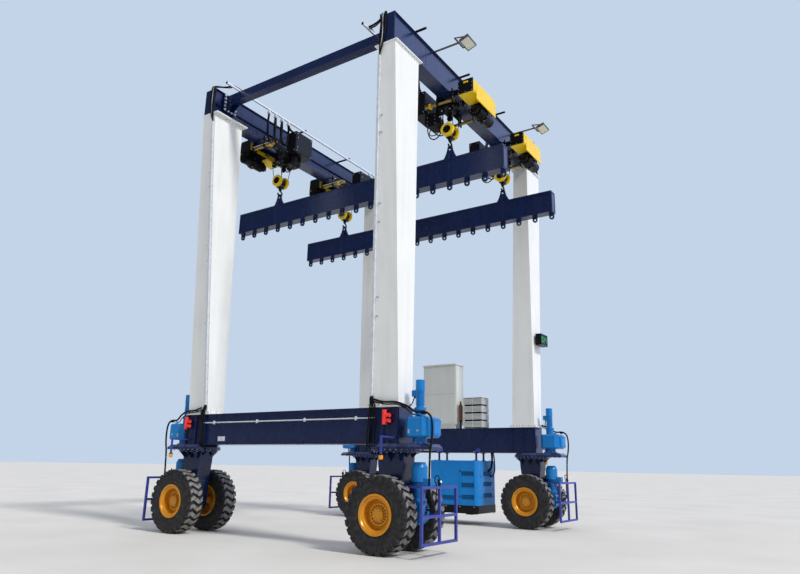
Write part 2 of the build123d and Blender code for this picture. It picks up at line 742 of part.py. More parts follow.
def beacon():
    """Square tube bracket that reaches out and down from the beam, with a lamp under it."""
    x = (3180, 3220)
    arm = block(x, (FRAME_Y + BEAM_HALF_WIDTH - 40, 4440), (2215, 2250))
    arm += block(x, (4405, 4440), (1880, 2250))
    return arm + upright(3200, 4422, (1800, 1880), 45)


def horn(x):
    """Upright sounder with two side trumpets on a bracket."""
    y = FRAME_Y + BEAM_HALF_WIDTH + 70
    body = upright(x, y, (2490, 2790), 48)
    for z in (2570, 2680):
        body += along_x((x, x + 120), y, z, 38)
    return body + block((x - 30, x + 30), (FRAME_Y + BEAM_HALF_WIDTH - 4, y), (2610, 2670))


def load_display():
    """Box with a sunk screen, on a bracket from the column's outer face."""
    display = block((3350, 3540), (3560, 4080), (5350, 5700))
    display -= block((3528, 3541), (3600, 4040), (5390, 5660))
    bracket = block((3270, 3350), (3700, 3900), (5450, 5600))
    return display + (bracket - column_body())


def write_signals():
    write("floodlights", floodlight(-LAMP_Y), floodlight(LAMP_Y))
    write("beacons", *four_corners(beacon()))
    horns = [horn(x) for x in (-3200, 3000)]
    write("horns", *horns, *[mirror(each, Plane.XZ) for each in horns])
    write("load_display", load_display())


write_lower_beams()
write_columns()
write_girders()
write_tie_beams()
write_festoon_tracks()
write_slewing_drives()
write_wheel_groups()
write_trolleys()
write_spreaders()
write_generator()
write_cabinets()
write_signals()
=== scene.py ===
from itertools import product
from math import cos, hypot, pi, radians, sin

import bmesh
import bpy
from mathutils import Matrix, Vector


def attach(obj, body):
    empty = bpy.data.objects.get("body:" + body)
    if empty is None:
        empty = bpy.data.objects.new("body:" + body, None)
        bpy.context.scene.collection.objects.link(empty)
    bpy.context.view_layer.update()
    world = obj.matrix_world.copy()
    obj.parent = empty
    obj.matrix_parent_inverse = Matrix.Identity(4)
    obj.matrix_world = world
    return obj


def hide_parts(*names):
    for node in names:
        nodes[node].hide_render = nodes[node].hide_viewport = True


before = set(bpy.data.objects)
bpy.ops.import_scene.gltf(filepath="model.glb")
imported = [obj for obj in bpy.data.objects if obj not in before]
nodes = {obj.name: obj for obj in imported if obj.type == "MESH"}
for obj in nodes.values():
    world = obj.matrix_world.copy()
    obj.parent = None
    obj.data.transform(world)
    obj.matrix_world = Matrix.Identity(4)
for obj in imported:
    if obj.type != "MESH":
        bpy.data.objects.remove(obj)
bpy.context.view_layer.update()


# Camera
# Stands where the photograph was taken, at eye height beside the near right corner, and looks
# up along the crane. Its lens gives the same field of view.

CAMERA_AT = Vector((10.742, -15.183, 1.675))
YAW, PITCH, ROLL = radians(33.636), radians(15.478), radians(1.029)

camera = bpy.data.objects.new("camera", bpy.data.cameras.new("camera"))
camera.data.lens = 29.06
camera.data.sensor_width = 36
camera.data.clip_end = 2000
level = Matrix.Rotation(YAW, 4, "Z") @ Matrix.Rotation(pi / 2 + PITCH, 4, "X")
camera.matrix_world = Matrix.Translation(CAMERA_AT) @ level @ Matrix.Rotation(ROLL, 4, "Z")
bpy.context.scene.collection.objects.link(camera)
bpy.context.scene.camera = camera


# Floor and light
# A pale floor, a pale background and soft light: the sky all round, and a broad sun from the
# right, which leaves the faces towards the camera in open shade as on the real yard. Glossy
# paint mirrors a sky that is bright behind the crane and dull behind the camera.

def tone(value):
    """Linear colour from an sRGB hex value such as #1F2C6B."""
    channels = [int(value[i:i + 2], 16) / 255 for i in (1, 3, 5)]
    linear = [c / 12.92 if c <= 0.04045 else ((c + 0.055) / 1.055) ** 2.4 for c in channels]
    return (*linear, 1.0)


def add(tree, kind, sockets=None, **settings):
    """Adds a shader node: its own settings, and a value or a link for each named socket."""
    made = tree.nodes.new("ShaderNode" + kind)
    for key, value in settings.items():
        setattr(made, key, value)
    for key, value in (sockets or {}).items():
        if isinstance(value, bpy.types.NodeSocket):
            tree.links.new(value, made.inputs[key])
        else:
            made.inputs[key].default_value = value
    return made


def blank_material(name):
    """A new material with an empty node tree."""
    made = bpy.data.materials.new(name)
    made.use_nodes = True
    made.node_tree.nodes.clear()
    return made


def poured_concrete():
    """Power-floated slab: pale grey with wide, faint clouds of colour and no gloss."""
    made = blank_material("poured_concrete")
    tree = made.node_tree
    place = add(tree, "TexCoord").outputs["Object"]
    cloud = add(tree, "TexNoise", {"Vector": place, "Scale": 0.35, "Detail": 6.0})
    shade = add(tree, "ValToRGB", {"Fac": cloud.outputs["Fac"]})
    shade.color_ramp.elements[0].position = 0.3
    shade.color_ramp.elements[0].color = tone("#D3D1CC")
    shade.color_ramp.elements[1].position = 0.7
    shade.color_ramp.elements[1].color = tone("#DEDCD8")
    slab = add(tree, "BsdfPrincipled", {"Base Color": shade.outputs["Color"], "Roughness": 0.9})
    add(tree, "OutputMaterial", {"Surface": slab.outputs["BSDF"]})
    return made


FLOOR_HALF = 400.0
BRIGHT_SKY = (0.45, 0.80, 0.40)     # direction of the bright clouds behind the crane

floor_mesh = bpy.data.meshes.new("floor")
floor_mesh.from_pydata([(-FLOOR_HALF, -FLOOR_HALF, 0), (FLOOR_HALF, -FLOOR_HALF, 0),
                        (FLOOR_HALF, FLOOR_HALF, 0), (-FLOOR_HALF, FLOOR_HALF, 0)],
                       [], [(0, 1, 2, 3)])
floor_slab = bpy.data.objects.new("floor", floor_mesh)
floor_slab.data.materials.append(poured_concrete())
bpy.context.scene.collection.objects.link(floor_slab)

world = bpy.data.worlds.new("open_sky")
world.use_nodes = True
world.node_tree.nodes.clear()
sky = world.node_tree
seen = add(sky, "LightPath")
direct = add(sky, "Math", {0: seen.outputs["Is Camera Ray"],
                           1: seen.outputs["Is Transmission Ray"]}, operation="MAXIMUM")
fill = add(sky, "Background", {"Color": tone("#E9EEF6"), "Strength": 0.66})
towards = add(sky, "VectorMath", {0: add(sky, "TexCoord").outputs["Generated"],
                                  1: BRIGHT_SKY}, operation="DOT_PRODUCT")
glow = add(sky, "MapRange", {0: towards.outputs["Value"], 1: -0.5, 2: 0.9, 3: 0.15, 4: 1.5})
clouds = add(sky, "Background", {"Color": tone("#BECEFF"), "Strength": glow.outputs[0]})
backdrop = add(sky, "Background", {"Color": tone("#C3D4E8"), "Strength": 1.0})
lit = add(sky, "MixShader", {0: seen.outputs["Is Glossy Ray"], 1: fill.outputs[0],
                             2: clouds.outputs[0]})
mixed = add(sky, "MixShader", {0: direct.outputs[0], 1: lit.outputs[0], 2: backdrop.outputs[0]})
add(sky, "OutputWorld", {"Surface": mixed.outputs[0]})
bpy.context.scene.world = world

sun = bpy.data.objects.new("sun", bpy.data.lights.new("sun", "SUN"))
sun.data.energy = 2.35
sun.data.angle = radians(9)
sun.data.color = (1.0, 0.975, 0.94)
sun.rotation_euler = (Vector((-0.82, 0.16, -0.78))).to_track_quat("-Z", "Y").to_euler()
bpy.context.scene.collection.objects.link(sun)
bpy.context.scene.view_settings.view_transform = "Standard"


# Lower beams
# Box beams welded from plate, bolted to the slewing rings and the column feet, with one cable
# conduit along the near beam. Sprayed with two-part polyurethane paint: deep blue and glossy.

def painted_steel(name, colour, faded, gloss=0.35, dust="#A9A69C", dusty=0.3, shine=0.5,
                  metal=0.0):
    """Sprayed paint on plate: faint clouds 0.9 m wide and rain streaks 0.14 m wide of the
    faded colour, dust in specks of 0.12 m where it can lie, and a soft ripple of 45 mm from the
    plate and the spray, which is drawn coarser than it is so that it shows."""
    made = blank_material(name)
    tree = made.node_tree
    place = add(tree, "TexCoord").outputs["Object"]
    cloud = add(tree, "TexNoise", {"Vector": place, "Scale": 1 / 0.9, "Detail": 4.0})
    down = add(tree, "Mapping", {"Vector": place, "Scale": (7.0, 7.0, 0.4)})
    streak = add(tree, "TexNoise", {"Vector": down.outputs[0], "Scale": 1.0, "Detail": 3.0})
    worn = add(tree, "Math", {0: cloud.outputs["Fac"], 1: streak.outputs["Fac"]},
               operation="MULTIPLY")
    worn = add(tree, "MapRange", {0: worn.outputs[0], 1: 0.16, 2: 0.42, 3: 0.0, 4: 1.0})
    base = add(tree, "Mix", {0: worn.outputs[0], 6: tone(colour), 7: tone(faded)},
               data_type="RGBA")
    facing = add(tree, "NewGeometry").outputs["Normal"]
    up = add(tree, "SeparateXYZ", {0: facing})
    lie = add(tree, "MapRange", {0: up.outputs[2], 1: 0.35, 2: 0.95, 3: 0.0, 4: dusty})
    speck = add(tree, "TexNoise", {"Vector": place, "Scale": 1 / 0.12, "Detail": 5.0})
    lie = add(tree, "Math", {0: lie.outputs[0], 1: speck.outputs["Fac"]}, operation="MULTIPLY")
    skin = add(tree, "Mix", {0: lie.outputs[0], 6: base.outputs[2], 7: tone(dust)},
               data_type="RGBA")
    rough = add(tree, "MapRange", {0: speck.outputs["Fac"], 1: 0.3, 2: 0.7,
                                   3: gloss - 0.02, 4: gloss + 0.05})
    ripple = add(tree, "TexNoise", {"Vector": place, "Scale": 1 / 0.045, "Detail": 2.0})
    bump = add(tree, "Bump", {"Height": ripple.outputs["Fac"], "Strength": 0.025,
                              "Distance": 0.002})
    paint = add(tree, "BsdfPrincipled", {
        "Base Color": skin.outputs[2], "Roughness": rough.outputs[0], "Metallic": metal,
        "Specular IOR Level": shine, "Normal": bump.outputs[0]})
    add(tree, "OutputMaterial", {"Surface": paint.outputs[0]})
    return made


def zinc_plate(name, colour="#D9DCDE", deep="#B0B4B7", rough=0.42):
    """Zinc-plated or galvanised steel: metallic, with the pale flakes of the zinc about
    12 mm across."""
    made = blank_material(name)
    tree = made.node_tree
    place = add(tree, "TexCoord").outputs["Object"]
    flake = add(tree, "TexVoronoi", {"Vector": place, "Scale": 1 / 0.012})
    shade = add(tree, "MapRange", {0: flake.outputs["Color"], 1: 0.0, 2: 1.0, 3: 0.82, 4: 1.08})
    grime = add(tree, "TexNoise", {"Vector": place, "Scale": 1 / 0.2, "Detail": 5.0})
    tint = add(tree, "Mix", {0: grime.outputs["Fac"], 6: tone(colour), 7: tone(deep)},
               data_type="RGBA")
    tint = add(tree, "Mix", {0: 1.0, 6: tint.outputs[2], 7: shade.outputs[0]},
               data_type="RGBA", blend_type="MULTIPLY")
    rough_map = add(tree, "MapRange", {0: grime.outputs["Fac"], 1: 0.3, 2: 0.7,
                                       3: rough - 0.08, 4: rough + 0.12})
    steel = add(tree, "BsdfPrincipled", {"Base Color": tint.outputs[2], "Metallic": 0.5,
                                         "Roughness": rough_map.outputs[0]})
    add(tree, "OutputMaterial", {"Surface": steel.outputs[0]})
    return made


def moulded(name, colour, rough=0.5, grain=0.004, shine=0.5):
    """Plastic or rubber skin: one colour with faint clouds 80 mm wide, and a fine grain."""
    made = blank_material(name)
    tree = made.node_tree
    place = add(tree, "TexCoord").outputs["Object"]
    cloud = add(tree, "TexNoise", {"Vector": place, "Scale": 1 / 0.08, "Detail": 4.0})
    shade = add(tree, "MapRange", {0: cloud.outputs["Fac"], 1: 0.3, 2: 0.7, 3: 0.86, 4: 1.12})
    tint = add(tree, "Mix", {0: 1.0, 6: tone(colour), 7: shade.outputs[0]},
               data_type="RGBA", blend_type="MULTIPLY")
    rough_map = add(tree, "MapRange", {0: cloud.outputs["Fac"], 1: 0.3, 2: 0.7,
                                       3: rough - 0.06, 4: rough + 0.08})
    pores = add(tree, "TexNoise", {"Vector": place, "Scale": 1 / grain, "Detail": 2.0})
    bump = add(tree, "Bump", {"Height": pores.outputs["Fac"], "Strength": 0.12,
                              "Distance": 0.001})
    skin = add(tree, "BsdfPrincipled", {"Base Color": tint.outputs[2],
                                        "Roughness": rough_map.outputs[0],
                                        "Specular IOR Level": shine,
                                        "Normal": bump.outputs[0]})
    add(tree, "OutputMaterial", {"Surface": skin.outputs[0]})
    return made


def coat(material, *names):
    """Gives CAD nodes a finish."""
    for name in names:
        slots = nodes[name].data.materials
        slots.clear()
        slots.append(material)
        for face in nodes[name].data.polygons:
            face.material_index = 0


def part_coat(material, thing, test):
    """A second finish on the faces of one object whose middle passes a test."""
    slots = thing.data.materials
    slots.append(material)
    for face in thing.data.polygons:
        if test(thing.matrix_world @ face.center):
            face.material_index = len(slots) - 1


def tilted(axis):
    """Turns +Z towards an axis given as a vector."""
    return Vector(axis).to_track_quat("Z", "Y").to_matrix().to_4x4()


def turned(profile, at, axis=(0, 0, 1), sides=24):
    """A lathe-turned part from (radius, height) pairs; a radius of 0 closes an end."""
    place = Matrix.Translation(at) @ tilted(axis)
    verts, rows, faces = [], [], []
    for radius, height in profile:
        if radius == 0:
            rows.append([len(verts)] * sides)
            verts.append(place @ Vector((0, 0, height)))
            continue
        rows.append(list(range(len(verts), len(verts) + sides)))
        for i in range(sides):
            a = 2 * pi * i / sides
            verts.append(place @ Vector((radius * cos(a), radius * sin(a), height)))
    for low, high in zip(rows, rows[1:]):
        for i in range(sides):
            j = (i + 1) % sides
            corners = list(dict.fromkeys((low[i], low[j], high[j], high[i])))
            if len(corners) > 2:
                faces.append(corners)
    return verts, faces


def rod(start, end, radius, sides=16):
    """A closed round bar between two points."""
    length = (Vector(end) - Vector(start)).length
    profile = ((0, 0), (radius, 0), (radius, length), (0, length))
    return turned(profile, start, Vector(end) - Vector(start), sides)


def hose(points, radius, sides=8, steps=6):
    """A round cable or pipe through points, curved smoothly between them."""
    knots = [Vector(p) for p in points]
    knots = [2 * knots[0] - knots[1]] + knots + [2 * knots[-1] - knots[-2]]
    line = []
    for a, b, c, d in zip(knots, knots[1:], knots[2:], knots[3:]):
        for i in range(steps):
            t = i / steps
            line.append(0.5 * (2 * b + (c - a) * t + (2 * a - 5 * b + 4 * c - d) * t ** 2
                               + (3 * b - a - 3 * c + d) * t ** 3))
    line.append(knots[-2])
    verts, faces, side = [], [], None
    for i, at in enumerate(line):
        ahead = (line[min(i + 1, len(line) - 1)] - line[max(i - 1, 0)]).normalized()
        side = ahead.orthogonal() if side is None else side - ahead * side.dot(ahead)
        side.normalize()
        up = ahead.cross(side)
        for k in range(sides):
            a = 2 * pi * k / sides
            verts.append(at + radius * (side * cos(a) + up * sin(a)))
    for i in range(len(line) - 1):
        for k in range(sides):
            n = (k + 1) % sides
            low, high = i * sides, (i + 1) * sides
            faces.append((low + k, low + n, high + n, high + k))
    last = (len(line) - 1) * sides
    return verts, faces + [tuple(range(sides)), tuple(range(last, last + sides))]


def slab(x, y, z):
    """A box from three (low, high) pairs."""
    verts = [Vector((a, b, c)) for a in x for b in y for c in z]
    return verts, [(0, 1, 3, 2), (4, 6, 7, 5), (0, 4, 5, 1), (2, 3, 7, 6), (0, 2, 6, 4),
                   (1, 5, 7, 3)]


def prism(outline, at, axis, length):
    """A straight prism: an outline of (x, y) points in the plane square to an axis."""
    place = Matrix.Translation(at) @ tilted(axis)
    verts = [place @ Vector((x, y, z)) for z in (0, length) for x, y in outline]
    n = len(outline)
    faces = [tuple(reversed(range(n))), tuple(range(n, 2 * n))]
    return verts, faces + [(i, (i + 1) % n, n + (i + 1) % n, n + i) for i in range(n)]


def moved(parts, place):
    """The same parts, carried by a matrix."""
    return [([place @ v for v in verts], faces) for verts, faces in parts]


def stud_and_nut(at, axis, size):
    """Nut on a washer with the stud's thread standing out of it."""
    at, axis = Vector(at), Vector(axis).normalized()
    thread = rod(at + axis * 0.6 * size, at + axis * 1.7 * size, 0.46 * size, 12)
    return hex_bolt(at, axis, size) + [thread]


def hex_bolt(at, axis, size):
    """Hexagon head on a washer; size is the thread's diameter in metres."""
    head = [(0.9 * size * cos(pi / 3 * i), 0.9 * size * sin(pi / 3 * i)) for i in range(6)]
    at, axis = Vector(at), Vector(axis).normalized()
    washer = turned(((0, 0), (1.1 * size, 0), (1.1 * size, 0.2 * size), (0, 0.2 * size)),
                    at, axis, 12)
    return [washer, prism(head, at + axis * 0.2 * size, axis, 0.62 * size)]


def bolt_circle(middle, axis, radius, count, size, start=0.5):
    """Bolts evenly round a circle whose axis is Y or Z."""
    x, y, z = middle
    made = []
    for i in range(count):
        a = 2 * pi * (i + start) / count
        across, along = radius * cos(a), radius * sin(a)
        at = (x + across, y + along, z) if axis[2] else (x + across, y, z + along)
        made += hex_bolt(at, axis, size)
    return made


def bolt_grid(xs, ys, zs, axis, size):
    """Bolts at every crossing of the given coordinates."""
    made = []
    for at in product(xs, ys, zs):
        made += hex_bolt(at, axis, size)
    return made


def piece(name, body, material, parts, bevel=0.0, sharp=38):
    """Joins parts into one object that rides on a body. Edges over the sharp angle stay crisp."""
    mesh = bpy.data.meshes.new(name)
    work = bmesh.new()
    for verts, faces in parts:
        made = [work.verts.new(v) for v in verts]
        for face in faces:
            work.faces.new([made[i] for i in face])
    bmesh.ops.recalc_face_normals(work, faces=work.faces)
    for edge in work.edges:
        edge.smooth = len(edge.link_faces) == 2 and edge.calc_face_angle(0) < radians(sharp)
    for face in work.faces:
        face.smooth = True
    work.to_mesh(mesh)
    work.free()
    made = bpy.data.objects.new(name, mesh)
    bpy.context.scene.collection.objects.link(made)
    mesh.materials.append(material)
    if bevel:
        rounding = made.modifiers.new("rounding", "BEVEL")
        rounding.width = bevel
        rounding.segments = 2
        rounding.limit_method = "ANGLE"
        rounding.angle_limit = radians(sharp)
    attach(made, body)
    return made


def mirrored(parts, sides):
    """Parts drawn at +X +Y, carried to the given (x, y) sides by mirroring."""
    every = []
    for sx, sy in sides:
        every += moved(parts, Matrix.Diagonal((sx, sy, 1, 1)))
    return every


UP, DOWN = (0, 0, 1), (0, 0, -1)
ALL_SIDES = ((1, 1), (1, -1), (-1, 1), (-1, -1))
NEAR_SIDES = ((1, -1), (-1, -1))
STEER_X, FRAME_Y = 3.07, 3.674        # steering axis of a corner
BEAM_BOTTOM = 2.106
FLANGE_TOP = BEAM_BOTTOM + 0.020
TURNTABLE_BOTTOM = 1.992
WEB_Y = 3.934                         # outer face of the beams' outer webs
BASE_TOP = 2.883                      # top of the columns' base plates

# The deep blue has a wet gloss, so upright plates mirror the sky. The guards, clamps and beacons
# get a lighter and duller violet-blue copy of it, which is painted sunlight on the navy.
navy_paint = painted_steel("navy_polyurethane_paint", "#0C1D45", "#122450", gloss=0.24,
                           dusty=0.1, shine=0.5)
sunlit_navy_paint = painted_steel("navy_enamel_painted_sunlit", "#2F3D92", "#37449A", gloss=0.4, shine=0.4)
# New zinc is bright and silvery. The bolts under the turntables and on the legs get a darker,
# duller grey zinc, which is painted shade.
zinc = zinc_plate("zinc_plated_steel")
shaded_zinc = zinc_plate("zinc_steel_darkened_as_shade", "#9A9FA2", "#7B8083", 0.5)
# The rubber sheath is near black with a faint sheen, the conduit pale and smooth.
cable_sheath = moulded("black_cable_sheath", "#0E0E0F", rough=0.6, grain=0.01, shine=0.2)
conduit_grey = moulded("pale_grey_conduit", "#CDD3DA", rough=0.42)
coat(navy_paint, "lower_beams")

RING_BOLTS = 0.512                    # radius of the bolt circle of the slewing ring
BASE_BOLTS = (3.405, 3.952)           # rows of bolts along both sides of a column's foot
CLAMP_OUT = 0.284                     # from the middle of the beam to its lower flange's rim
ring_bolts = bolt_circle((STEER_X, FRAME_Y, TURNTABLE_BOTTOM), DOWN, RING_BOLTS, 28, 0.02)
ring_bolts += bolt_grid((3.46, 3.82), (FRAME_Y - 0.17, FRAME_Y + 0.17), (TURNTABLE_BOTTOM,),
                        DOWN, 0.02)
beam_bolts = []
for y in BASE_BOLTS:
    for i in range(9):
        beam_bolts += stud_and_nut((2.52 + i * 0.095, y, BASE_TOP), UP, 0.026)
# the ring bolts hang under the turntable, and their darker zinc paints in the shade there
piece("ring_bolts", "frame", shaded_zinc, mirrored(ring_bolts, ALL_SIDES))
piece("beam_bolts", "frame", zinc, mirrored(beam_bolts, ALL_SIDES))

PIPE_Y, PIPE_Z = -WEB_Y - 0.026, 2.64
conduit = [rod((-2.65, PIPE_Y, PIPE_Z), (2.69, PIPE_Y, PIPE_Z), 0.015, 12)]
conduit += [slab((x - 0.02, x + 0.02), (-WEB_Y - 0.046, -WEB_Y + 0.002), (2.60, 2.68))
            for x in (-2.25, -0.75, 0.75, 2.20)]
piece("beam_conduit", "frame", conduit_grey, conduit, bevel=0.003)
plate_and_screws = [slab((-2.09, -1.84), (-WEB_Y - 0.004, -WEB_Y + 0.001), (2.19, 2.30))]
plate_and_screws += [rod((x, -WEB_Y - 0.008, z), (x, -WEB_Y - 0.002, z), 0.006, 10)
                     for x in (-2.075, -1.855) for z in (2.205, 2.285)]
piece("beam_blank_plate", "frame", conduit_grey, plate_and_screws)

clamps, clamp_nuts = [], []
for x in (0.0, 1.32):
    for y in (FRAME_Y - CLAMP_OUT, FRAME_Y + CLAMP_OUT):
        clamps.append(slab((x + 0.010, x + 0.150), (y - 0.021, y + 0.021),
                           (FLANGE_TOP, FLANGE_TOP + 0.105)))
        for step in (-0.065, -0.020):
            clamp_nuts += stud_and_nut((x + step, y, FLANGE_TOP), UP, 0.019)
# the clamps take the lighter violet blue, which is painted sunlight on the navy
piece("generator_clamps", "frame", sunlit_navy_paint, clamps, bevel=0.003)
piece("generator_clamp_nuts", "frame", zinc, clamp_nuts)


# Columns
# Tapered box columns of folded plate, sprayed white. Each near one carries a pale grey cable
# duct on zinc-plated clamps near its inner edge, and cables leave the duct at both ends.

# The white is half gloss, with a broad, soft highlight and pale dust where it can lie.
white_paint = painted_steel("white_polyurethane_paint", "#ECEEED", "#E2E5E4", gloss=0.42,
                            dust="#C9C5BA", dusty=0.3)
coat(white_paint, "columns")

FOOT = ((2.558, 3.9405), BASE_TOP)     # inner edge and outer face at the foot, (x, y), z
HEAD = ((2.866, 4.440), 11.320)


def column_edge(z):
    """Inner edge and outer face of a column at a height, as (x, y)."""
    t = (z - FOOT[1]) / (HEAD[1] - FOOT[1])
    return tuple(a + (b - a) * t for a, b in zip(FOOT[0], HEAD[0]))


DUCT_STEP = 0.331                     # length of one cover, with a 4 mm joint

ducts, duct_clamps, riser_cables = [], [], []
for k in range(24):
    low, high = 3.09 + k * DUCT_STEP, 3.09 + (k + 1) * DUCT_STEP - 0.004
    outline = [Vector((x + dx, y + dy, z))
               for (x, y), z in ((column_edge(low), low), (column_edge(high), high))
               for dx, dy in ((0.015, 0.004), (0.075, 0.004), (0.075, 0.062), (0.015, 0.062))]
    ducts.append((outline, [(0, 3, 2, 1), (4, 5, 6, 7), (0, 1, 5, 4), (1, 2, 6, 5),
                            (2, 3, 7, 6), (3, 0, 4, 7)]))
for z in (4.80, 5.22, 6.93, 7.36, 9.08, 9.50):
    x, y = column_edge(z)
    duct_clamps.append(slab((x - 0.002, x + 0.16), (y - 0.002, y + 0.006),
                            (z - 0.016, z + 0.016)))
    duct_clamps += hex_bolt((x + 0.135, y + 0.006, z), (0, 1, 0), 0.02)
foot_x, foot_y = column_edge(3.1)
for shift, reach, low in ((-0.030, 0.0, 1.99), (-0.004, 0.03, 2.01), (0.020, 0.07, 2.00),
                          (0.044, 0.12, 2.02)):
    hang = foot_x + shift + reach
    riser_cables.append(hose([(foot_x + 0.045 + shift / 2, foot_y + 0.03, 3.11),
                              (foot_x + 0.045 + shift, foot_y + 0.035, 3.02),
                              (foot_x + 0.060 + shift + reach / 3, foot_y + 0.052, 2.90),
                              (hang + 0.040, foot_y + 0.050, 2.70),
                              (hang + 0.010, foot_y + 0.045, 2.40),
                              (hang - 0.010, foot_y + 0.028, 2.12),
                              (hang + 0.020, foot_y - 0.08, low)], 0.014))
riser_cables.append(hose([(2.61, 3.975, 3.10), (2.65, 3.99, 3.00), (2.80, 4.0, 2.94),
                          (3.05, 3.99, 2.955), (3.25, 3.95, 2.93), (3.40, 3.86, 2.85),
                          (3.47, 3.76, 2.90), (3.50, 3.70, 3.02), (3.52, 3.69, 3.10)], 0.012))
piece("cable_ducts", "frame", conduit_grey, mirrored(ducts, NEAR_SIDES), bevel=0.003)
piece("duct_clamps", "frame", zinc, mirrored(duct_clamps, NEAR_SIDES))
piece("foot_cables", "frame", cable_sheath, mirrored(riser_cables, ALL_SIDES))

CAP_TOP = 11.35
cap_bolts = bolt_grid((2.79,), [3.37 + i * 0.125 for i in range(9)], (CAP_TOP,), UP, 0.02)
cap_bolts += bolt_grid((3.345,), [3.45 + i * 0.30 for i in range(4)], (CAP_TOP,), UP, 0.02)
piece("cap_plate_bolts", "frame", zinc, mirrored(cap_bolts, ALL_SIDES))


# Girders and tie beams
# Welded box girders, with the ties' end plates bolted to their inner flanges, in the same deep
# blue. Splice welds show as fine raised lines; supply cables bend over the near ends.

coat(navy_paint, "main_girders", "tie_beams")

TIE_PLATE_X = 2.880                   # free face of the ties' end plates
tie_bolts = bolt_grid((TIE_PLATE_X,), (3.705, 4.095), [11.605 + i * 0.112 for i in range(5)],
                      (-1, 0, 0), 0.034)
tie_bolts += bolt_grid((TIE_PLATE_X,), (3.84, 3.96), (11.595,), (-1, 0, 0), 0.030)
piece("tie_bolts", "frame", zinc, mirrored(tie_bolts, ALL_SIDES))

WEB_FOOT, WEB_HEAD = 11.372, 12.100
welds = []
for y in (0.75, 2.95):
    welds += [rod((2.9548, y, WEB_FOOT), (2.9548, y, 11.645), 0.005, 8),
              rod((2.9548, y, 11.668), (2.9548, y, WEB_HEAD), 0.005, 8),
              rod((3.2652, y, WEB_FOOT), (3.2652, y, WEB_HEAD), 0.005, 8)]
welds += [rod((x, 0.0, z), (x, 4.43, z), 0.005, 6) for x in (2.955, 3.265)
          for z in (11.371, 12.103)]
piece("girder_welds", "frame", navy_paint, mirrored(welds, ALL_SIDES))

duct_x, duct_y = column_edge(11.05)
strands = []
for i, (drift, radius) in enumerate(((-0.012, 0.014), (0.010, 0.019), (-0.004, 0.012),
                                     (0.014, 0.017), (-0.010, 0.013))):
    x, top = 2.915 + 0.037 * i, 12.145 + 0.008 * i
    strands.append(hose([(duct_x + 0.045, duct_y + 0.034, 11.04),
                         (x / 2 + (duct_x + 0.045) / 2, 4.472, 11.26), (x + drift, 4.474, 11.55),
                         (x - drift, 4.476, 11.86), (x + drift, 4.465, top),
                         (x - 0.03, 4.38, top + 0.045 + drift), (x - 0.16, 4.30, top + 0.035),
                         (2.60, 4.28 - 0.02 * i, 12.15), (2.42, 4.28 - 0.02 * i, 12.138)],
                        radius))
GREY_STRAND = 2
piece("girder_end_cables", "frame", cable_sheath,
      mirrored(strands[:GREY_STRAND] + strands[GREY_STRAND + 1:], NEAR_SIDES))
piece("girder_end_grey_cable", "frame", conduit_grey,
      mirrored([strands[GREY_STRAND]], NEAR_SIDES))


# Festoons
# Roll-formed galvanised rails on bars across the girders. A clamp at each rail's end holds the
# supply cables; from there small carriers hold them in loops that travel with the hoists.

# The black enamel is half dull: its edges catch a thin grey line. The rails are new, so
# their zinc is almost white.
black_paint = painted_steel("black_machine_enamel", "#0C0D0F", "#151619", gloss=0.36,
                            dust="#55534E", dusty=0.25, shine=0.22)
bright_zinc = zinc_plate("new_galvanised_rail", "#F1F3F4", "#DCDFE1", 0.5)
coat(bright_zinc, "festoon_tracks")
coat(black_paint, "festoon_bars")

TRACK_X, TRACK_BOTTOM = 2.400, 12.066


def carrier(y):
    """A small trolley under the rail, with a saddle for the cables."""
    low = TRACK_BOTTOM - 0.075
    return [slab((TRACK_X - 0.006, TRACK_X + 0.006), (y - 0.018, y + 0.018),
                 (TRACK_BOTTOM - 0.045, TRACK_BOTTOM + 0.012)),
            slab((TRACK_X - 0.032, TRACK_X + 0.032), (y - 0.042, y + 0.042),
                 (low, TRACK_BOTTOM - 0.022)),
            rod((TRACK_X - 0.055, y, low - 0.012), (TRACK_X + 0.055, y, low - 0.012), 0.040, 20)]


def loop(start, end, drop):
    """A hanging loop of three cables side by side between two carriers."""
    cables = []
    for shift in (-0.030, 0.0, 0.030):
        lean = (end - start) * 0.08
        x, top = TRACK_X + shift, TRACK_BOTTOM - 0.10
        cables.append(hose([(x, start, top), (x, start - lean, top - 0.35 * drop),
                            (x, start + lean, top - 0.82 * drop),
                            (x, (start + end) / 2, top - drop - shift / 2),
                            (x, end - lean, top - 0.82 * drop),
                            (x, end + lean, top - 0.35 * drop), (x, end, top)], 0.013, 8, 5))
    return cables


feed = [hose([(2.43 + shift, 4.26, 12.14), (2.40 + shift, 4.10, 12.138),
              (2.385 + shift, 3.90, 12.10), (2.376 + shift, 3.76, 12.02),
              (2.390 + shift, 3.68, 11.975)], 0.013) for shift in (-0.014, 0.016)]
piece("festoon_end_clamps", "frame", conduit_grey, mirrored(carrier(3.66), ALL_SIDES),
      bevel=0.004)
piece("festoon_feed_cables", "frame", cable_sheath, mirrored(feed, ALL_SIDES))
track_end = [slab((TRACK_X - 0.03, TRACK_X + 0.03), (4.500, 4.512),
                  (TRACK_BOTTOM - 0.006, TRACK_BOTTOM + 0.06))]
piece("festoon_end_stops", "frame", cable_sheath, mirrored(track_end, ALL_SIDES), bevel=0.002)


# Slewing drives
# Cast gear cases and ribbed motors on the turntable plates, sprayed sky blue as one unit, with
# black supply cables.

# The sky blue is clear and glossy, with narrow highlights along the rounded castings.
sky_paint = painted_steel("sky_blue_machine_enamel", "#0E74BD", "#1780CA", gloss=0.3,
                          dusty=0.15, shine=0.35)
coat(sky_paint, "slewing_gearboxes", "slewing_motors")

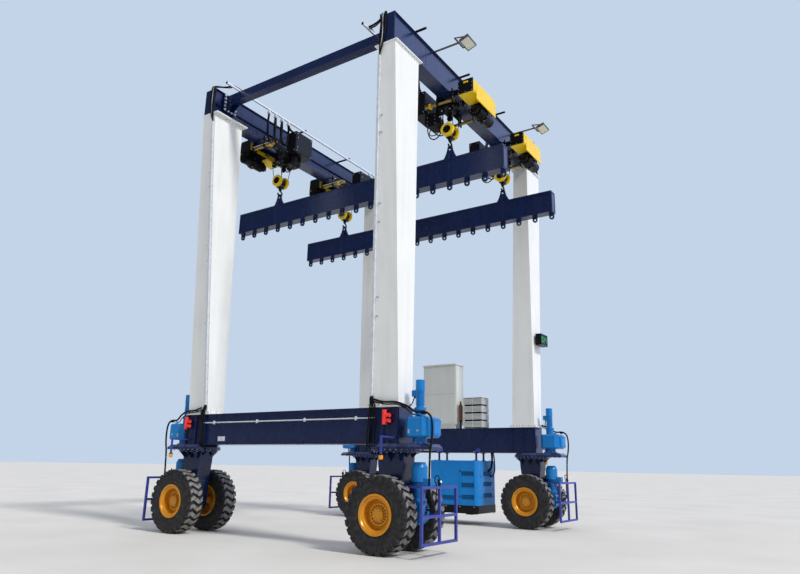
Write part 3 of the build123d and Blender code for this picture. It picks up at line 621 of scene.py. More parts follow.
DRIVE_X = 3.64                        # axis of the pinion and its motor
CASE_X = DRIVE_X + 0.065              # middle of the gear case
CASE_TOP = 2.640
CASE_END = 4.060
x, y = DRIVE_X, FRAME_Y
drive_fixings = bolt_circle((x, y, 2.130), UP, 0.178, 10, 0.016)
drive_fixings.append(slab((x - 0.092, x - 0.052), (y + 0.319, y + 0.323), (2.31, 2.39)))
drive_fixings.append(rod((x + 0.14, y + 0.318, 2.36), (x + 0.14, y + 0.335, 2.36), 0.022, 12))
drive_trim = bolt_circle((x, y, 2.835), UP, 0.108, 8, 0.013)
drive_trim += bolt_circle((CASE_X, y, CASE_TOP), UP, 0.235, 8, 0.016)
drive_trim += bolt_grid((CASE_END,), (y - 0.11, y, y + 0.11), (2.56, 2.30), (1, 0, 0), 0.014)
# terminal box lid, fan cowl rim and lifting eye
drive_trim.append(slab((3.470, 3.575), (y - 0.052, y + 0.052), (3.188, 3.200)))
drive_trim.append(turned(((0.098, 0), (0.100, 0.006), (0.096, 0.020), (0.070, 0.026),
                          (0, 0.026)), (x, y, 3.388), UP, 32))
drive_trim.append(hose([(x - 0.02, y + 0.30, 2.638), (x - 0.02, y + 0.30, 2.68),
                        (x + 0.03, y + 0.30, 2.70), (x + 0.08, y + 0.30, 2.68),
                        (x + 0.08, y + 0.30, 2.638)], 0.008))
piece("slewing_drive_trim", "frame", sky_paint, mirrored(drive_trim, ALL_SIDES))
piece("slewing_drive_fixings", "frame", zinc, mirrored(drive_fixings, ALL_SIDES))

CABLE_CUT = 1.800                     # height where the cables pass on to the steered leg
drive_cables = [
    rod((3.525, y, 3.040), (3.525, y, 3.072), 0.018, 12),
    hose([(2.70, 4.02, 3.02), (2.95, 4.03, 2.955), (3.25, 4.02, 2.94), (3.50, 3.98, 2.86),
          (3.70, 3.95, 2.735), (3.92, 3.945, 2.725), (4.05, 3.94, 2.64), (4.09, 3.94, 2.45),
          (4.08, 3.94, 2.20), (4.04, 3.935, 1.98), (4.026, 3.930, CABLE_CUT)], 0.022),
    hose([(2.68, 3.99, 2.98), (2.95, 3.99, 2.915), (3.25, 3.98, 2.90), (3.48, 3.95, 2.80),
          (3.62, 3.93, 2.690), (3.72, 3.92, 2.672), (3.80, 3.88, 2.650)], 0.012),
    slab((3.86, 3.92), (3.90, 4.0), (2.680, 2.706))]
piece("drive_cables", "frame", cable_sheath, mirrored(drive_cables, ALL_SIDES))


# Wheel groups
# Each has a fabricated leg in the beams' blue, a sky blue gear motor, a tube guard in the same
# blue painted a lighter violet blue as if sunlit, and two gold wheels with heavy block-tread
# tyres: black rubber, worn grey on top of the lugs.

def worn_rubber(name, dark, grey, low, high, rough):
    """Tread rubber: carbon black and dull, with road dust in patches of 90 mm, and a grain of
    6 mm, which is drawn coarser than it is so that it shows."""
    made = blank_material(name)
    tree = made.node_tree
    place = add(tree, "TexCoord").outputs["Object"]
    dust = add(tree, "TexNoise", {"Vector": place, "Scale": 1 / 0.09, "Detail": 7.0})
    shade = add(tree, "MapRange", {0: dust.outputs["Fac"], 1: low, 2: high, 3: 0.0, 4: 1.0})
    tint = add(tree, "Mix", {0: shade.outputs[0], 6: tone(dark), 7: tone(grey)},
               data_type="RGBA")
    grain = add(tree, "TexNoise", {"Vector": place, "Scale": 1 / 0.006, "Detail": 3.0})
    bump = add(tree, "Bump", {"Height": grain.outputs["Fac"], "Strength": 0.3,
                              "Distance": 0.002})
    rubber = add(tree, "BsdfPrincipled", {"Base Color": tint.outputs[2], "Roughness": rough,
                                          "Normal": bump.outputs[0]})
    add(tree, "OutputMaterial", {"Surface": rubber.outputs[0]})
    return made


CORNERS = {"near_left": (-1, -1), "near_right": (1, -1), "far_right": (1, 1),
           "far_left": (-1, 1)}
AXLE_Z = 0.75
TWIN_HALF = 0.53
LUG_COUNT = 26
TREAD_RADIUS = 0.74
SHOULDER = 0.196                      # from the tyre's middle, where a lug bends down
CARCASS = ((0.372, 0.178), (0.394, 0.181), (0.410, 0.191), (0.440, 0.203), (0.470, 0.209),
           (0.474, 0.212), (0.486, 0.213), (0.490, 0.211), (0.540, 0.2135), (0.580, 0.2125),
           (0.598, 0.2105), (0.601, 0.2135), (0.609, 0.2130), (0.612, 0.2105), (0.650, 0.2070),
           (0.686, 0.1990), (0.704, 0.1840), (0.709, 0.1500), (0.708, 0.0700), (0.706, 0.0))
# Stations across one lug: distance from the middle plane, radius of the top and of the foot,
# sweep round the wheel in radians, and half width along the tread.
LUG = ((-0.2125, 0.6380, 0.634, 0.004, 0.046), (-0.2148, 0.6760, 0.640, 0.004, 0.050),
       (-0.2120, 0.7180, 0.650, 0.004, 0.053), (-0.1980, 0.7400, 0.664, 0.010, 0.054),
       (-0.1700, 0.7460, 0.680, 0.034, 0.054), (-0.0700, 0.7500, 0.690, 0.118, 0.052),
       (0.0000, 0.7500, 0.690, 0.064, 0.050), (0.0950, 0.7500, 0.690, -0.012, 0.052),
       (0.1700, 0.7460, 0.680, 0.040, 0.054), (0.1980, 0.7400, 0.664, 0.056, 0.054),
       (0.2120, 0.7180, 0.650, 0.060, 0.053), (0.2148, 0.6760, 0.640, 0.060, 0.050),
       (0.2125, 0.6380, 0.634, 0.060, 0.046))


def tyre(middle, turn):
    """One tyre of the twin: a turned carcass, and zigzag lugs that run from shoulder to
    shoulder and wrap down over both."""
    outer = [(r, -w) for r, w in CARCASS] + [(r, w) for r, w in reversed(CARCASS[:-1])]
    parts = [turned(outer, (0, middle, 0), (0, 1, 0), 88)]
    for i in range(LUG_COUNT):
        start = 2 * pi * (i + turn) / LUG_COUNT
        verts = []
        for w, top, foot, sweep, half in LUG:
            lean = min(1.0, max(0.0, (abs(w) - SHOULDER) / 0.018))
            for across, height in ((-1.12, 0.0), (-1.0, 0.84), (-0.92, 1.0), (0.92, 1.0),
                                   (1.0, 0.84), (1.12, 0.0)):
                r = foot + (top - foot) * height
                a = start + sweep + across * half / TREAD_RADIUS
                inward = (1 - height) * 0.022 * lean * (1 if w > 0 else -1)
                verts.append(Vector((r * cos(a), middle + w - inward, r * sin(a))))
        faces = [tuple(range(6)), tuple(range(len(verts) - 6, len(verts)))]
        for k in range(len(LUG) - 1):
            for j in range(6):
                n = (j + 1) % 6
                faces.append((6 * k + j, 6 * k + n, 6 * k + 6 + n, 6 * k + 6 + j))
        parts.append((verts, faces))
    return parts


# The rims' gold enamel has a little metal in it, which warms its highlights, and the nuts
# are a darker gold. The lenses are smooth and show small, sharp highlights.
gold_paint = painted_steel("gold_rim_enamel", "#DA931C", "#CA8616", gloss=0.28, dusty=0.05,
                           metal=0.2)
nut_steel = zinc_plate("gold_tinted_nut_steel", "#8A6222", "#5E441C", 0.4)
tread_rubber = worn_rubber("tread_rubber", "#18181A", "#3A3937", 0.45, 0.78, 0.66)
lug_top_rubber = worn_rubber("scuffed_lug_rubber", "#4A4947", "#8C8A85", 0.30, 0.66, 0.6)
lens_white = moulded("white_sensor_lens", "#E8EAEC", rough=0.25)
amber_lens = moulded("amber_lamp_lens", "#F0A018", rough=0.22)

pair_of_tyres = tyre(-TWIN_HALF, 0.0) + tyre(TWIN_HALF, 0.5)

DISC_FACE, CAP_FACE = TWIN_HALF + 0.060, TWIN_HALF + 0.115
wheel_bolts, rim_locks = [], []
for side in (1, -1):
    out = (0, side, 0)
    wheel_bolts += bolt_circle((0, side * DISC_FACE, 0), out, 0.168, 18, 0.017)
    wheel_bolts += bolt_circle((0, side * CAP_FACE, 0), out, 0.094, 8, 0.010, 0)
    rim_locks.append(turned(((0.3315, 0), (0.3345, 0.006), (0.3375, 0.007), (0.3385, 0.0)),
                            (0, side * (TWIN_HALF + 0.180), 0), out, 64))
    rim_locks.append(rod((0.283, side * (TWIN_HALF + 0.10), 0.06),
                         (0.262, side * (TWIN_HALF + 0.152), 0.058), 0.009, 12))
    rim_locks.append(slab((-0.020, 0.020), sorted((side * (TWIN_HALF + 0.174),
                                                   side * (TWIN_HALF + 0.190))),
                          (-0.344, -0.318)))

# leg: bolts under the ring, hinge pins and bolts of the guard, beads at the guard's joints
leg_bolts = bolt_circle((0, 0, 1.940), DOWN, 0.458, 20, 0.018)
for z in (0.75, 1.28):
    leg_bolts += bolt_grid((0.205, 0.225), (-0.255, 0.255), (z + 0.025,), UP, 0.010)
    for side in (-1, 1):
        leg_bolts += bolt_grid((0.985, 0.945), (side * 0.275,), (z,), (0, side, 0), 0.012)
guard_welds = [rod((1.0035, y, z), (1.0565, y, z), 0.0045, 6)
               for z in (0.285, 0.725, 0.775, 1.255) for y in (-0.665, -0.025, 0.025, 0.665)]

# wheel drive: covers and bolts of the gear case, flange and bands of the motor, terminal box
MOTOR_X = 0.57
GEAR_X, GEAR_Z, GEAR_FACE = 0.46, 0.79, 0.130
drive_parts = []
for side in (-1, 1):
    out = (0, side, 0)
    for x, z in ((0.30, 0.62), (0.30, 0.95), (0.47, 0.62), (0.66, 0.72), (0.66, 0.87),
                 (0.47, 0.96)):
        drive_parts += hex_bolt((x, side * GEAR_FACE, z), out, 0.014)
    drive_parts.append(turned(((0.100, 0), (0.100, 0.008), (0.090, 0.012), (0, 0.012)),
                              (GEAR_X, side * GEAR_FACE, GEAR_Z), out, 32))
    drive_parts += bolt_circle((GEAR_X, side * (GEAR_FACE + 0.012), GEAR_Z), out, 0.082, 6,
                               0.008, 0)
drive_parts += bolt_circle((MOTOR_X, 0, 1.05), UP, 0.139, 8, 0.011)
drive_parts += bolt_circle((MOTOR_X, 0, 1.660), UP, 0.150, 4, 0.009)
drive_parts.append(slab((0.858, 0.870), (-0.082, 0.082), (1.288, 1.432)))
drive_parts += bolt_grid((0.870,), (-0.072, 0.072), (1.298, 1.422), (1, 0, 0), 0.006)
for low, high in ((1.378, 0.024), (1.628, 0.020)):
    drive_parts.append(turned(((0.166, 0), (0.168, 0.004), (0.168, high - 0.004),
                               (0.166, high)), (MOTOR_X, 0, low), UP, 40))


def grille(at, axis, first, pitch, count, width, height, sides):
    """Raised rings round one middle, as on a fan cover."""
    rings = [first + pitch * k for k in range(count)]
    return [turned(((r, 0), (r, height), (r + width, height), (r + width, 0)), at, axis, sides)
            for r in rings]


drive_marks = grille((MOTOR_X, 0, 1.7495), UP, 0.035, 0.017, 5, 0.008, 0.004, 32)
drive_marks.append(slab((0.715, 0.722), (-0.045, 0.045), (0.76, 0.82)))

# cables down to the drive, and the sensor on its stalk
leg_cables = [hose(points, radius) for points, radius in (
    (((0.956, -0.256, 1.795), (0.946, -0.250, 1.55), (0.942, -0.240, 1.30),
      (0.944, -0.205, 1.10), (0.950, -0.120, 0.93), (0.930, -0.020, 0.84),
      (0.860, 0.040, 0.80), (0.790, 0.030, 0.84), (0.722, 0.0, 0.85)), 0.021),
    (((0.985, -0.020, 1.305), (0.950, -0.045, 1.40), (0.955, -0.030, 1.48),
      (1.000, 0.0, 1.50), (1.030, 0.0, 1.455)), 0.010),
    (((0.985, -0.020, 1.305), (0.972, -0.030, 1.10), (0.950, -0.020, 0.98),
      (0.880, -0.010, 0.93), (0.800, -0.020, 0.95), (0.722, -0.030, 0.89)), 0.010),
    (((0.765, 0.0, 1.248), (0.765, 0.0, 1.16), (0.790, 0.010, 1.05),
      (0.775, 0.030, 0.92), (0.722, 0.040, 0.88)), 0.010))]
leg_cables.append(rod((0.765, 0.0, 1.282), (0.765, 0.0, 1.245), 0.017, 12))
leg_cables.append(turned(((0, 0), (0.034, 0), (0.038, 0.030), (0.030, 0.075), (0.018, 0.095),
                          (0, 0.095)), (1.030, 0.0, 1.345), UP, 20))
leg_cables.append(slab((1.010, 1.050), (-0.014, 0.014), (1.303, 1.350)))
sensor_lens = [turned(((0, 0), (0.026, 0), (0.026, 0.010), (0.018, 0.018), (0, 0.020)),
                      (1.060, 0.0, 1.385), (1, 0, 0.25), 20)]

for corner, (sx, sy) in CORNERS.items():
    place = Matrix.Translation((sx * STEER_X, sy * FRAME_Y, 0))
    if sx < 0:
        place = place @ Matrix.Rotation(pi, 4, "Z")
    axle = place @ Matrix.Translation((0, 0, AXLE_Z))
    leg, wheels = f"leg_{corner}", f"wheels_{corner}"
    local = place.inverted()

    coat(navy_paint, f"wheel_leg_{corner}")
    # the guard takes the lighter violet blue, which is painted sunlight on the navy
    part_coat(sunlit_navy_paint, nodes[f"wheel_leg_{corner}"],      # the guard, out past the leg
              lambda at: (local @ at).x > 0.27 and (local @ at).z < 1.35)
    coat(sky_paint, f"wheel_drive_{corner}")
    coat(gold_paint, f"axle_and_rims_{corner}")
    # the leg's bolts take the darker zinc, which is painted shade
    piece(f"leg_bolts_{corner}", leg, shaded_zinc, moved(leg_bolts, place))
    to_drive = Matrix.Diagonal((1, -sx * sy, 1, 1))   # the frame's cable ends on one side
    piece(f"leg_cables_{corner}", leg, cable_sheath, moved(leg_cables, place @ to_drive))
    piece(f"sensor_lens_{corner}", leg, lens_white, moved(sensor_lens, place))
    piece(f"guard_welds_{corner}", leg, sunlit_navy_paint, moved(guard_welds, place))
    piece(f"wheel_drive_trim_{corner}", leg, sky_paint, moved(drive_parts, place))
    piece(f"wheel_drive_grille_{corner}", leg, cable_sheath, moved(drive_marks, place))
    piece(f"wheel_nuts_{corner}", wheels, nut_steel, moved(wheel_bolts, axle))
    piece(f"rim_locks_{corner}", wheels, gold_paint, moved(rim_locks, axle), bevel=0.002)
    rubber = piece(f"lugged_tyres_{corner}", wheels, tread_rubber, moved(pair_of_tyres, axle))
    middle = axle.translation
    part_coat(lug_top_rubber, rubber,
              lambda at: hypot(at.x - middle.x, at.z - middle.z) > 0.7435)
    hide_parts(f"tyres_{corner}")


# Trolleys and hoists
# Black flame-cut frames on the girders' bottom flanges, with yellow-chromate cross tubes. Each
# carries a yellow sheet hood over the drum, a black hoist motor, and a black control cabinet.

# The hoods are a clear, half-gloss yellow. Chromate gives the tubes' zinc a brownish tint,
# and grease darkens the steel ropes.
yellow_paint = painted_steel("signal_yellow_paint", "#F2CC12", "#EBC30F", gloss=0.36,
                             dusty=0.1, shine=0.25)
chromate = zinc_plate("yellow_chromate_zinc", "#B79A4C", "#8E7A40", 0.36)
rope_steel = zinc_plate("greased_rope_steel", "#5A5C5E", "#3D3E40", 0.5)

HOOK_LINES = {"near": -1.40, "far": 1.95}
GIRDER_X = 3.11
TUBE_LINES = (-0.25, 1.0)


def on_tube(at):
    """Whether a point, given from the hook line, lies on a cross tube clear of the side
    plates."""
    near_line = min(abs(at.y - line) for line in TUBE_LINES) < 0.048
    return near_line and 11.130 < at.z < 11.228 and not 0.212 < abs(at.x) < 0.255


def in_hood_shade(at):
    """Whether a point of the hood, given from the hook line, lies on its open motor end or on
    the ceiling over the motor: the hollow inside, which is painted black as shade."""
    return at.y > 0.995 or (at.y > 0.285 and at.z < 11.245 and at.x < 0.866)


FRONT, BACK = (0, -1, 0), (0, 1, 0)

# side plates: ends of the rollers' axles, bolts of the plates and of the arms
SIDE_FACE = 0.250
hoist_bolts = []
for side in (-1, 1):
    out, face = (side, 0, 0), side * SIDE_FACE
    hoist_bolts += [turned(((0, 0), (0.030, 0), (0.030, 0.006), (0.018, 0.008), (0.018, 0.022),
                            (0, 0.022)), (face, y, 11.4305), out, 20) for y in (-0.21, 0.96)]
    hoist_bolts += bolt_grid((face,), (-0.28, -0.14, 0.89, 1.03), (11.335, 11.475), out, 0.012)
    hoist_bolts += bolt_grid((face,), (-0.31, -0.19, -0.06, 0.06, 0.94, 1.06), (11.235,), out,
                             0.013)
    hoist_bolts += bolt_grid((face,), (0.18, 0.36, 0.54, 0.72), (11.30,), out, 0.013)
hoist_bolts += bolt_grid((0.29, 0.39), (-0.255, 0.275, 0.805), (11.420,), UP, 0.012)
hoist_bolts += bolt_grid((0.29, 0.39), (-0.205, 0.325, 0.855), (11.300,), DOWN, 0.012)

# hoist motor: flange bolts, rings and bands of the fan cowl, terminal box with its cable
HOIST_X, HOIST_Z = 0.66, 10.98
for y, out in ((0.600, FRONT), (0.720, BACK)):
    hoist_bolts += bolt_circle((HOIST_X, y, HOIST_Z), out, 0.182, 8, 0.014)
hoist_black = grille((HOIST_X, 1.0995, HOIST_Z), BACK, 0.030, 0.022, 4, 0.009, 0.006, 28)
hoist_black += [turned(((0.158, -0.010), (0.162, -0.010), (0.162, 0.010), (0.158, 0.010)),
                       (HOIST_X, y, HOIST_Z), BACK, 36) for y in (0.76, 1.00)]
hoist_black += [slab((0.50, 0.60), (0.80, 0.98), (10.995, 11.16)),
                slab((0.494, 0.500), (0.81, 0.97), (11.00, 11.15)),
                rod((0.55, 0.80, 11.06), (0.55, 0.765, 11.06), 0.014, 12),
                hose([(0.55, 0.77, 11.06), (0.54, 0.70, 11.04), (0.50, 0.62, 11.10),
                      (0.46, 0.56, 11.20), (0.445, 0.52, 11.26)], 0.009)]

# hood: folded seams and screws, with a black plate and a yellow lever on the end panel
hood_seams = [slab((0.432, 0.852), (-0.162, -0.138), (11.598, 11.606)),
              slab((0.874, 0.882), (-0.162, -0.138), (11.215, 11.540)),
              slab((0.430, 0.444), (-0.318, 0.998), (11.598, 11.612)),
              slab((0.872, 0.896), (-0.145, 0.998), (11.046, 11.058)),
              slab((0.60, 0.74), (-0.366, -0.350), (11.485, 11.530))]
hoist_bolts += bolt_grid((0.47,), [-0.29 + 0.155 * k for k in range(9)], (11.600,), UP, 0.008)
END_PANEL = -0.352
hoist_bolts += bolt_grid((0.455, 0.650, 0.850), (END_PANEL,), (11.235, 11.575), FRONT, 0.010)
hoist_bolts += bolt_grid((0.455, 0.850), (END_PANEL,), (11.35, 11.46), FRONT, 0.010)
hoist_black += [slab((0.53, 0.77), (-0.358, -0.350), (11.26, 11.46)),
                rod((0.82, -0.356, 11.40), (0.82, -0.350, 11.40), 0.018, 12)]

# cross tubes: a thin zinc-plated tube beside each, its yellow clamp and chromated collars
thin_tubes = [rod((-0.63, -0.165, 11.265), (0.23, -0.165, 11.265), 0.014, 14),
              rod((-0.69, 1.075, 11.215), (0.24, 1.075, 11.215), 0.014, 14)]
collars = [turned(((0, 0), (0.052, 0), (0.052, 0.014), (0, 0.014)), (-0.712, 1.0, 11.18),
                  (1, 0, 0), 24)]
for line in TUBE_LINES:
    hood_seams.append(slab((-0.50, -0.44), (line - 0.058, line + 0.058), (11.122, 11.238)))
    hoist_bolts += bolt_grid((-0.47,), (line - 0.035, line + 0.035), (11.238,), UP, 0.011)
    collars += [turned(((0.046, 0), (0.060, 0), (0.060, 0.012), (0.046, 0.012)),
                       (x, line, 11.18), (1, 0, 0), 24) for x in (0.228, 0.248)]

# control cabinet: raised door and side panels, lid, corner bolts, hinges and cable glands
hoist_black += [slab((-1.016, -1.008), (-0.235, 0.445), (11.055, 11.685)),
                slab((-0.985, -0.670), (-0.276, -0.268), (11.055, 11.685)),
                slab((-0.985, -0.670), (0.478, 0.486), (11.055, 11.685)),
                slab((-1.012, -0.643), (-0.272, 0.482), (11.708, 11.722))]
hoist_black += [rod((-0.70 - 0.06 * i, 0.30, 11.022), (-0.70 - 0.06 * i, 0.30, 10.985), 0.014,
                    12) for i in range(5)]
hoist_bolts += bolt_grid((-1.016,), (-0.205, 0.415), (11.085, 11.655), (-1, 0, 0), 0.014)
hoist_bolts += bolt_grid((-0.960, -0.690), (-0.276,), (11.085, 11.655), FRONT, 0.014)
hoist_bolts += bolt_grid((-0.960, -0.690), (0.486,), (11.085, 11.655), BACK, 0.014)
hoist_bolts += bolt_grid((-0.625,), (-0.24, -0.12), (11.13, 11.27), (1, 0, 0), 0.012)
hoist_bolts += [rod((-1.024, 0.40, z - 0.02), (-1.024, 0.40, z + 0.02), 0.008, 10)
                for z in (11.20, 11.52)]

# travel drive: bolts of the gear case, ribs, cowl and terminal box of the motor, and cables
# that hang from the glands
TRAVEL_X, TRAVEL_Z = -0.59, 10.94
hoist_bolts += bolt_grid((-0.70, -0.46), (-0.040,), (10.79, 10.90, 11.02), FRONT, 0.012)
hoist_black += [turned(((0.114, 0), (0.128, 0.001), (0.128, 0.007), (0.114, 0.008)),
                       (TRAVEL_X, 0.385 + 0.026 * i, TRAVEL_Z), BACK, 32) for i in range(9)]
hoist_black += [turned(((0.114, 0), (0.121, 0.004), (0.121, 0.060), (0.100, 0.074), (0, 0.076)),
                       (TRAVEL_X, 0.635, TRAVEL_Z), BACK, 32),
                slab((-0.66, -0.52), (0.42, 0.56), (11.045, 11.11))]
hoist_black += [hose(points, radius) for points, radius in (
    (((-0.70, 0.30, 10.99), (-0.715, 0.31, 10.86), (-0.66, 0.40, 10.70), (-0.58, 0.50, 10.68),
      (-0.50, 0.60, 10.78), (-0.48, 0.62, 10.95), (-0.52, 0.54, 11.08)), 0.018),
    (((-0.88, 0.30, 10.99), (-0.89, 0.31, 10.80), (-0.82, 0.32, 10.60), (-0.66, 0.30, 10.50),
      (-0.46, 0.24, 10.56), (-0.34, 0.18, 10.80), (-0.31, 0.15, 11.06)), 0.017),
    (((-0.76, 0.30, 10.99), (-0.77, 0.31, 10.90), (-0.83, 0.30, 10.72), (-0.74, 0.28, 10.62),
      (-0.56, 0.26, 10.62), (-0.42, 0.22, 10.74), (-0.38, 0.18, 11.06)), 0.014))]

# sheave housing: bolts of its hangers, and the bolt and collars of the axle on each face
GUIDE_X, GUIDE_Z = 0.120, 10.950
hoist_bolts += bolt_grid((-0.200, 0.200), (-0.195, 0.0, 0.195), (11.064,), UP, 0.012)
for x, face in product((-GUIDE_X, GUIDE_X), (-1, 1)):
    hoist_bolts += hex_bolt((x, face * 0.237, GUIDE_Z), (0, face, 0), 0.020)
    hoist_black += [turned(((0.066, 0), (0.088, 0.001), (0.088, 0.007), (0.066, 0.008)),
                           (x, face * 0.215 + lip, GUIDE_Z), BACK, 32) for lip in (-0.024, 0.016)]

# the festoon travels with the trolleys: side of the crane, places of the carriers and of the
# cabinet that the cables feed, out from the middle of the crane
TOWED = {"near": (-1, (2.80, 2.52, 2.24, 1.95), 1.62),
         "far": (1, (3.34, 3.02, 2.70, 2.38), 2.10)}
DROPS = (0.92, 0.84, 0.74)

for pair, line in HOOK_LINES.items():
    body = f"trolleys_{pair}"
    places = (Matrix.Translation((GIRDER_X, line, 0)),
              Matrix.Translation((-GIRDER_X, line, 0)) @ Matrix.Rotation(pi, 4, "Z"))
    coat(black_paint, f"trolley_frames_{pair}", f"hoist_machines_{pair}")
    coat(yellow_paint, f"hoist_covers_{pair}")
    coat(rope_steel, f"hoist_ropes_{pair}")
    # black on the hood's open end and on its inside over the motor is painted shade
    part_coat(black_paint, nodes[f"hoist_covers_{pair}"],
              lambda at: in_hood_shade(places[0 if at.x > 0 else 1].inverted() @ at))
    part_coat(chromate, nodes[f"trolley_frames_{pair}"],
              lambda at: on_tube(places[0 if at.x > 0 else 1].inverted() @ at))
    for name, material, parts in (
            ("hoist_bolts", zinc, hoist_bolts), ("hood_seams", yellow_paint, hood_seams),
            ("hoist_fittings", black_paint, hoist_black), ("hoist_tubes", zinc, thin_tubes),
            ("tube_collars", chromate, collars)):
        piece(f"{name}_{pair}", body, material,
              moved(parts, places[0]) + moved(parts, places[1]))

    side, stations, cabinet = TOWED[pair]
    towed, towed_cables = [], []
    for y in stations:
        towed += carrier(y)
    for start, end, drop in zip(stations, stations[1:], DROPS):
        towed_cables += loop(start, end, drop)
    last = stations[-1]
    towed_cables += [hose([(2.40 + shift, last, 11.96), (2.39 + shift, last - 0.06, 11.86),
                           (2.34 + shift, last - 0.16, 11.78), (2.30 + shift, cabinet, 11.725)],
                          0.013) for shift in (-0.030, 0.0, 0.030)]
    both = ((1, side), (-1, side))
    piece(f"towed_carriers_{pair}", body, conduit_grey, mirrored(towed, both), bevel=0.004)
    piece(f"towed_cables_{pair}", body, cable_sheath, mirrored(towed_cables, both))


# Spreaders and hook blocks
# Box beams welded from plate in deep blue, with weld beads at the lugs and along the plates'
# edges. The hook blocks have yellow cheeks with black bearing covers, over a black yoke and a
# forged hook.

# On the rough beads the navy paint is duller, and is painted a little lighter than the plates: a
# painted highlight where the beads catch the light.
highlit_bead_paint = painted_steel("navy_weld_paint_painted_highlight", "#0E2049", "#142754", gloss=0.36)
SHEAVE_Z = 10.400                     # axis of the sheaves in the hook blocks
BEAM_EDGES = (8.912, 9.528)           # lower and upper edge of the webs
LUG_PITCH = 0.515
beads, block_black, block_bolts = [], [], []
for i in range(19):
    x = (i - 9) * LUG_PITCH
    beads += [rod((x - 0.078, y, 8.8885), (x + 0.078, y, 8.8885), 0.0065, 8)
              for y in (-0.0215, 0.0215)]
for side in (-1, 1):
    y = side * 0.1365
    beads += [rod((-4.68, y, z), (4.68, y, z), 0.005, 6) for z in BEAM_EDGES]
    y = side * 0.1352
    beads += [rod((x, y, BEAM_EDGES[0]), (x, y, BEAM_EDGES[1]), 0.0045, 8)
              for x in (-3.13, -1.60, 0.0, 1.60, 3.13)]
    x = side * 4.704
    beads += [rod((x, y, 8.93), (x, y, 9.51), 0.006, 8) for y in (-0.118, 0.118)]
    beads += [rod((x, -0.118, z), (x, 0.118, z), 0.006, 8) for z in (8.93, 9.51)]
for hook_x, side in product((-GIRDER_X, GIRDER_X), (-1, 1)):
    out = (0, side, 0)
    beads.append(rod((hook_x - 0.248, side * 0.022, 9.553), (hook_x + 0.248, side * 0.022, 9.553),
                     0.008, 8))
    beads.append(rod((hook_x + side * 0.014, -0.118, 9.553),
                     (hook_x + side * 0.014, 0.118, 9.553), 0.008, 8))
    block_black.append(turned(((0.095, -0.002), (0.112, 0.002), (0.112, 0.010), (0.098, 0.014),
                               (0.070, 0.004), (0.048, 0.004), (0.044, 0.020), (0, 0.022)),
                              (hook_x, side * 0.190, SHEAVE_Z), out, 36))
    block_bolts += bolt_circle((hook_x, side * 0.190, SHEAVE_Z), out, 0.150, 6, 0.014)
    block_black.append(slab(sorted((hook_x + side * 0.069, hook_x + side * 0.074)),
                            (-0.085, 0.085), (10.205, 10.300)))
    block_bolts += bolt_grid((hook_x + side * 0.074,), (-0.055, 0.055), (10.25,), (side, 0, 0),
                             0.012)
block_black += [turned(((0.030, 0), (0.052, 0), (0.052, 0.034), (0.030, 0.040)),
                       (hook_x, 0, 10.108), UP, 6) for hook_x in (-GIRDER_X, GIRDER_X)]

for pair, line in HOOK_LINES.items():
    body = f"spreader_{pair}"
    here = Matrix.Translation((0, line, 0))
    coat(navy_paint, f"spreader_beam_{pair}", f"load_lugs_{pair}")
    coat(black_paint, f"hook_blocks_{pair}")
    part_coat(yellow_paint, nodes[f"hook_blocks_{pair}"], lambda at: abs(at.y - line) > 0.1085
              and hypot(abs(at.x) - GIRDER_X, at.z - SHEAVE_Z) < 0.192)
    # the beads' lighter navy is a painted highlight
    piece(f"spreader_welds_{pair}", body, highlit_bead_paint, moved(beads, here))
    piece(f"block_covers_{pair}", body, black_paint, moved(block_black, here))
    piece(f"block_bolts_{pair}", body, zinc, moved(block_bolts, here))


# Generator
# Powder-coated sheet housing in bright blue on a black tank base, under the far beam. Its doors
# hang on painted pin hinges and close with black locks; bars and blades fill the louvres. The
# exhaust silencer stands on the beam above it: bare steel that the heat has browned.

# Powder coat is an even blue with a broad, soft highlight. Inside the louvres the same
# coat lies in shade, and looks darker and dull.
blue_paint = painted_steel("generator_blue_powder_coat", "#0B7DCB", "#1286D3", gloss=0.42,
                           dusty=0.15, shine=0.3)
deep_blue = painted_steel("blue_powder_coat_in_shade", "#124E86", "#17568F", gloss=0.6,
                          dusty=0.1, shine=0.2)

END_LOUVRES, MID_LOUVRE = (1.215, 0.205), (0.575, 0.215)   # middle in X and half width


def in_louvre(at):
    """Whether a point lies inside one of the slots that are cut into the housing."""
    beside = 3.031 < at.y < 3.09 or 4.27 < at.y < 4.329
    slot = any(abs(at.x - x) < half + 0.001 for x, half in (END_LOUVRES, MID_LOUVRE))
    return (beside and slot and at.z < 1.56) or (1.49 < at.x < 1.529 and 3.45 < at.y < 4.03
                                                and 0.7 < at.z < 1.56)


coat(blue_paint, "generator_housing")
part_coat(deep_blue, nodes["generator_housing"], in_louvre)
coat(black_paint, "generator_base")
coat(navy_paint, "generator_hangers")

GENERATOR_FACES = ((3.030, -1), (4.330, 1))
GENERATOR_END = 1.529
DOOR_HEIGHT = (0.60, 1.66)
SEAM, FRAME_BAR = 0.010, 0.004        # width of a seam or bar, and how far it stands out


def rim(x, y, z, bar):
    """Four bars along the edges of an upright panel that faces along X or Y."""
    ends = [(z[0], z[0] + bar), (z[1] - bar, z[1])]
    made = [slab(x, y, end) for end in ends]
    if x[1] - x[0] > y[1] - y[0]:
        return made + [slab((a, a + bar), y, z) for a in (x[0], x[1] - bar)]
    return made + [slab(x, (a, a + bar), z) for a in (y[0], y[1] - bar)]


